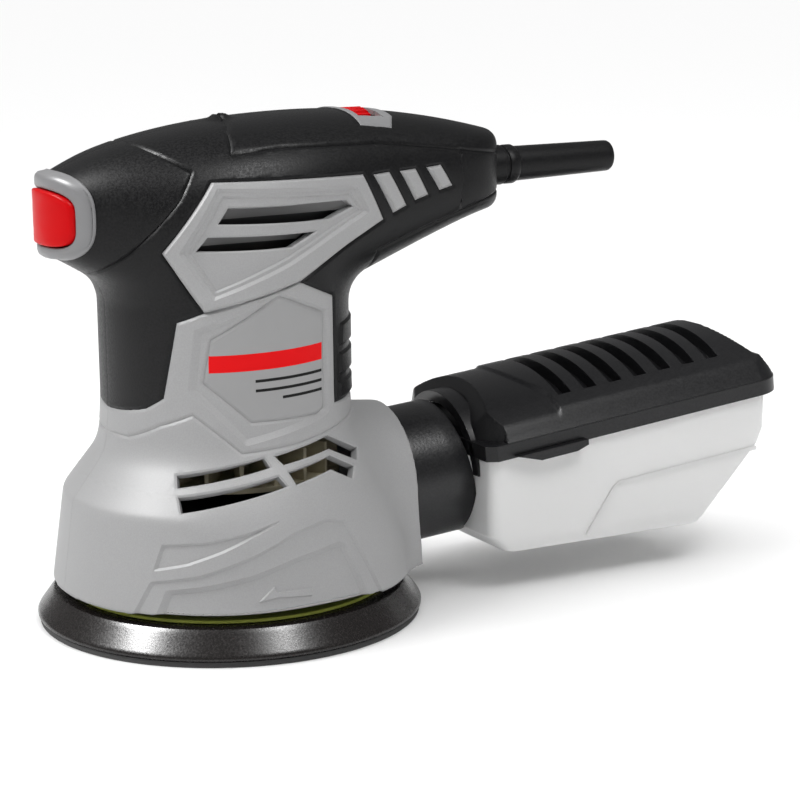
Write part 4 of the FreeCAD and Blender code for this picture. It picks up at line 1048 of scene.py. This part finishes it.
def box_piece():
    """The milky dust box with its ribs, bottom rim and round inlet."""
    front, half = 78.7, 33.1
    rings = [box_ring(85.4, 162.8, half - 1.2, 14.05), box_ring(84.6, 163.6, half - 0.4, 14.5),
             box_ring(83.6, 165.0, half - 0.2, 15.8), box_ring(83.2, 165.4, half, 16.1),
             box_ring(front + 0.1, 169.2, half, 20.0), box_ring(front, 179.0, half, 30.0),
             box_ring(front, 188.4, half, 39.8), box_ring(front, 190.6, half, 45.0),
             box_ring(front, 190.9, half + 0.25, 46.4, tilt=math.tan(LID_TILT))]
    count = len(rings[0])
    faces = grid_faces(len(rings), count, True) + [tuple(range(count))]
    box = build("box", [p for ring in rings for p in ring], faces)
    opening = loft("opening", [outlet_ring(23.4, -10.0), outlet_ring(23.4, 16.0)])
    hollow(box, 1.5, opening, "EXACT")
    parts = [box, loft("inlet", [outlet_ring(r, s) for r, s in (
        (23.2, 8.6), (23.35, 9.0), (23.35, 20.0), (21.3, 20.0), (21.3, 9.0), (21.6, 8.6))],
        True)]
    for side in (-1, 1):
        for (x0, z0), (x1, z1) in zip(RIB, RIB[1:]):
            length = math.hypot(x1 - x0, z1 - z0)
            nx, nz = -(z1 - z0) / length * RIB_HALF, (x1 - x0) / length * RIB_HALF
            outline = [(x0 - nx, z0 - nz), (x0 + nx, z0 + nz), (x1 + nx, z1 + nz),
                       (x1 - nx, z1 - nz)]
            inside_y, outside_y = side * (half - 0.4), side * (half + 0.35)
            parts.append(loft("rib", [[(x, y, z) for x, z in outline]
                                      for y in (inside_y, outside_y)]))
    place(join("box", parts), "dust_box_shell", "dust_unit", "clear_white", CLEAR,
          ["dust_box"])


pad_pieces()
rocker_pieces()
louvre_pieces()
dial_piece()
sleeve_piece()
tube_piece()
lid_piece()
box_piece()


# ---------------------------------------------------------------- camera, light and floor

# The camera's bearing, its height angle and roll, its place in millimetres, and its lens.
SIGHT = math.radians(-28.0)
RISE = math.radians(11.941)
ROLL = math.radians(-0.537)
CAMERA_PLACE = Vector((-277.35, -638.94, 215.73)) * MM
LENS = 99.0


def set_camera():
    """The camera at the angle of the picture."""
    back = Vector((math.sin(SIGHT) * math.cos(RISE), -math.cos(SIGHT) * math.cos(RISE),
                   math.sin(RISE)))
    right = Vector((math.cos(SIGHT), math.sin(SIGHT), 0))
    up = back.cross(right)
    turned_right = right * math.cos(ROLL) + up * math.sin(ROLL)
    turned_up = up * math.cos(ROLL) - right * math.sin(ROLL)
    data = bpy.data.cameras.new("camera")
    data.lens = LENS
    data.sensor_width = 36.0
    data.clip_start = 0.01
    thing = bpy.data.objects.new("camera", data)
    scene.collection.objects.link(thing)
    turn = Matrix((turned_right, turned_up, back)).transposed()
    thing.matrix_world = Matrix.Translation(CAMERA_PLACE) @ turn.to_4x4()
    scene.camera = thing


# World strength, sun in W/m2, and each area light's place, aim, size and watts.
# The two sheens show in gloss only.
ROOM_LIGHT = 0.22
SKY_LIGHT = 3.0
LIGHTS = {
    "behind": ((-0.77, 0.11, 0.95), (0.0, 0, 0.02), (0.40, 0.40), 3.2),
    "front": ((0.22, -0.64, 1.0), (0.0, 0, 0.02), (0.45, 0.35), 3.2),
    "sheen_behind": ((-0.80, 0.10, 0.96), (-0.03, 0, 0.01), (0.42, 0.34), 32.0),
    "sheen_front": ((0.23, -0.66, 1.01), (0.0, 0, 0.01), (0.16, 0.30), 5.0),
}


def area_light(name, place_at, target, size, power):
    """A soft rectangular light aimed at a point."""
    data = bpy.data.lights.new(name, "AREA")
    data.shape = "RECTANGLE"
    data.size, data.size_y = size
    data.energy = power
    thing = bpy.data.objects.new(name, data)
    scene.collection.objects.link(thing)
    aim = Vector(place_at) - Vector(target)
    thing.matrix_world = (Matrix.Translation(Vector(place_at))
                          @ aim.to_track_quat("Z", "Y").to_matrix().to_4x4())
    return thing


def studio():
    """White floor, a dimmer soft room for reflections, and soft lights."""
    world = bpy.data.worlds.new("world")
    world.use_nodes = True
    tree = world.node_tree
    room = tree.nodes["Background"]
    room.inputs["Color"].default_value = (1, 1, 1, 1)
    room.inputs["Strength"].default_value = ROOM_LIGHT
    white = tree.nodes.new("ShaderNodeBackground")
    white.inputs["Color"].default_value = (1, 1, 1, 1)
    white.inputs["Strength"].default_value = 1.0
    ray = tree.nodes.new("ShaderNodeLightPath")
    pick = tree.nodes.new("ShaderNodeMixShader")
    tree.links.new(ray.outputs["Is Camera Ray"], pick.inputs["Fac"])
    tree.links.new(room.outputs["Background"], pick.inputs[1])
    tree.links.new(white.outputs["Background"], pick.inputs[2])
    tree.links.new(pick.outputs["Shader"], tree.nodes["World Output"].inputs["Surface"])
    scene.world = world
    mesh = bmesh.new()
    bmesh.ops.create_grid(mesh, x_segments=1, y_segments=1, size=8.0)
    floor = finish_mesh("floor", mesh)
    paint(floor, material("floor", (0.9, 0.9, 0.9), 0.9))
    floor.location.z = frame_bounds[0][2]
    lights = [area_light(name, *values) for name, values in LIGHTS.items()]
    data = bpy.data.lights.new("sky", "SUN")
    data.energy = SKY_LIGHT
    data.angle = math.radians(100)
    sky = bpy.data.objects.new("sky", data)
    scene.collection.objects.link(sky)
    sky.rotation_euler = (math.radians(-14), math.radians(-10), 0)
    for light in lights:
        light.visible_diffuse = not light.name.startswith("sheen")
    sky.visible_glossy = False


set_camera()
studio()
scene.view_settings.view_transform = "Standard"
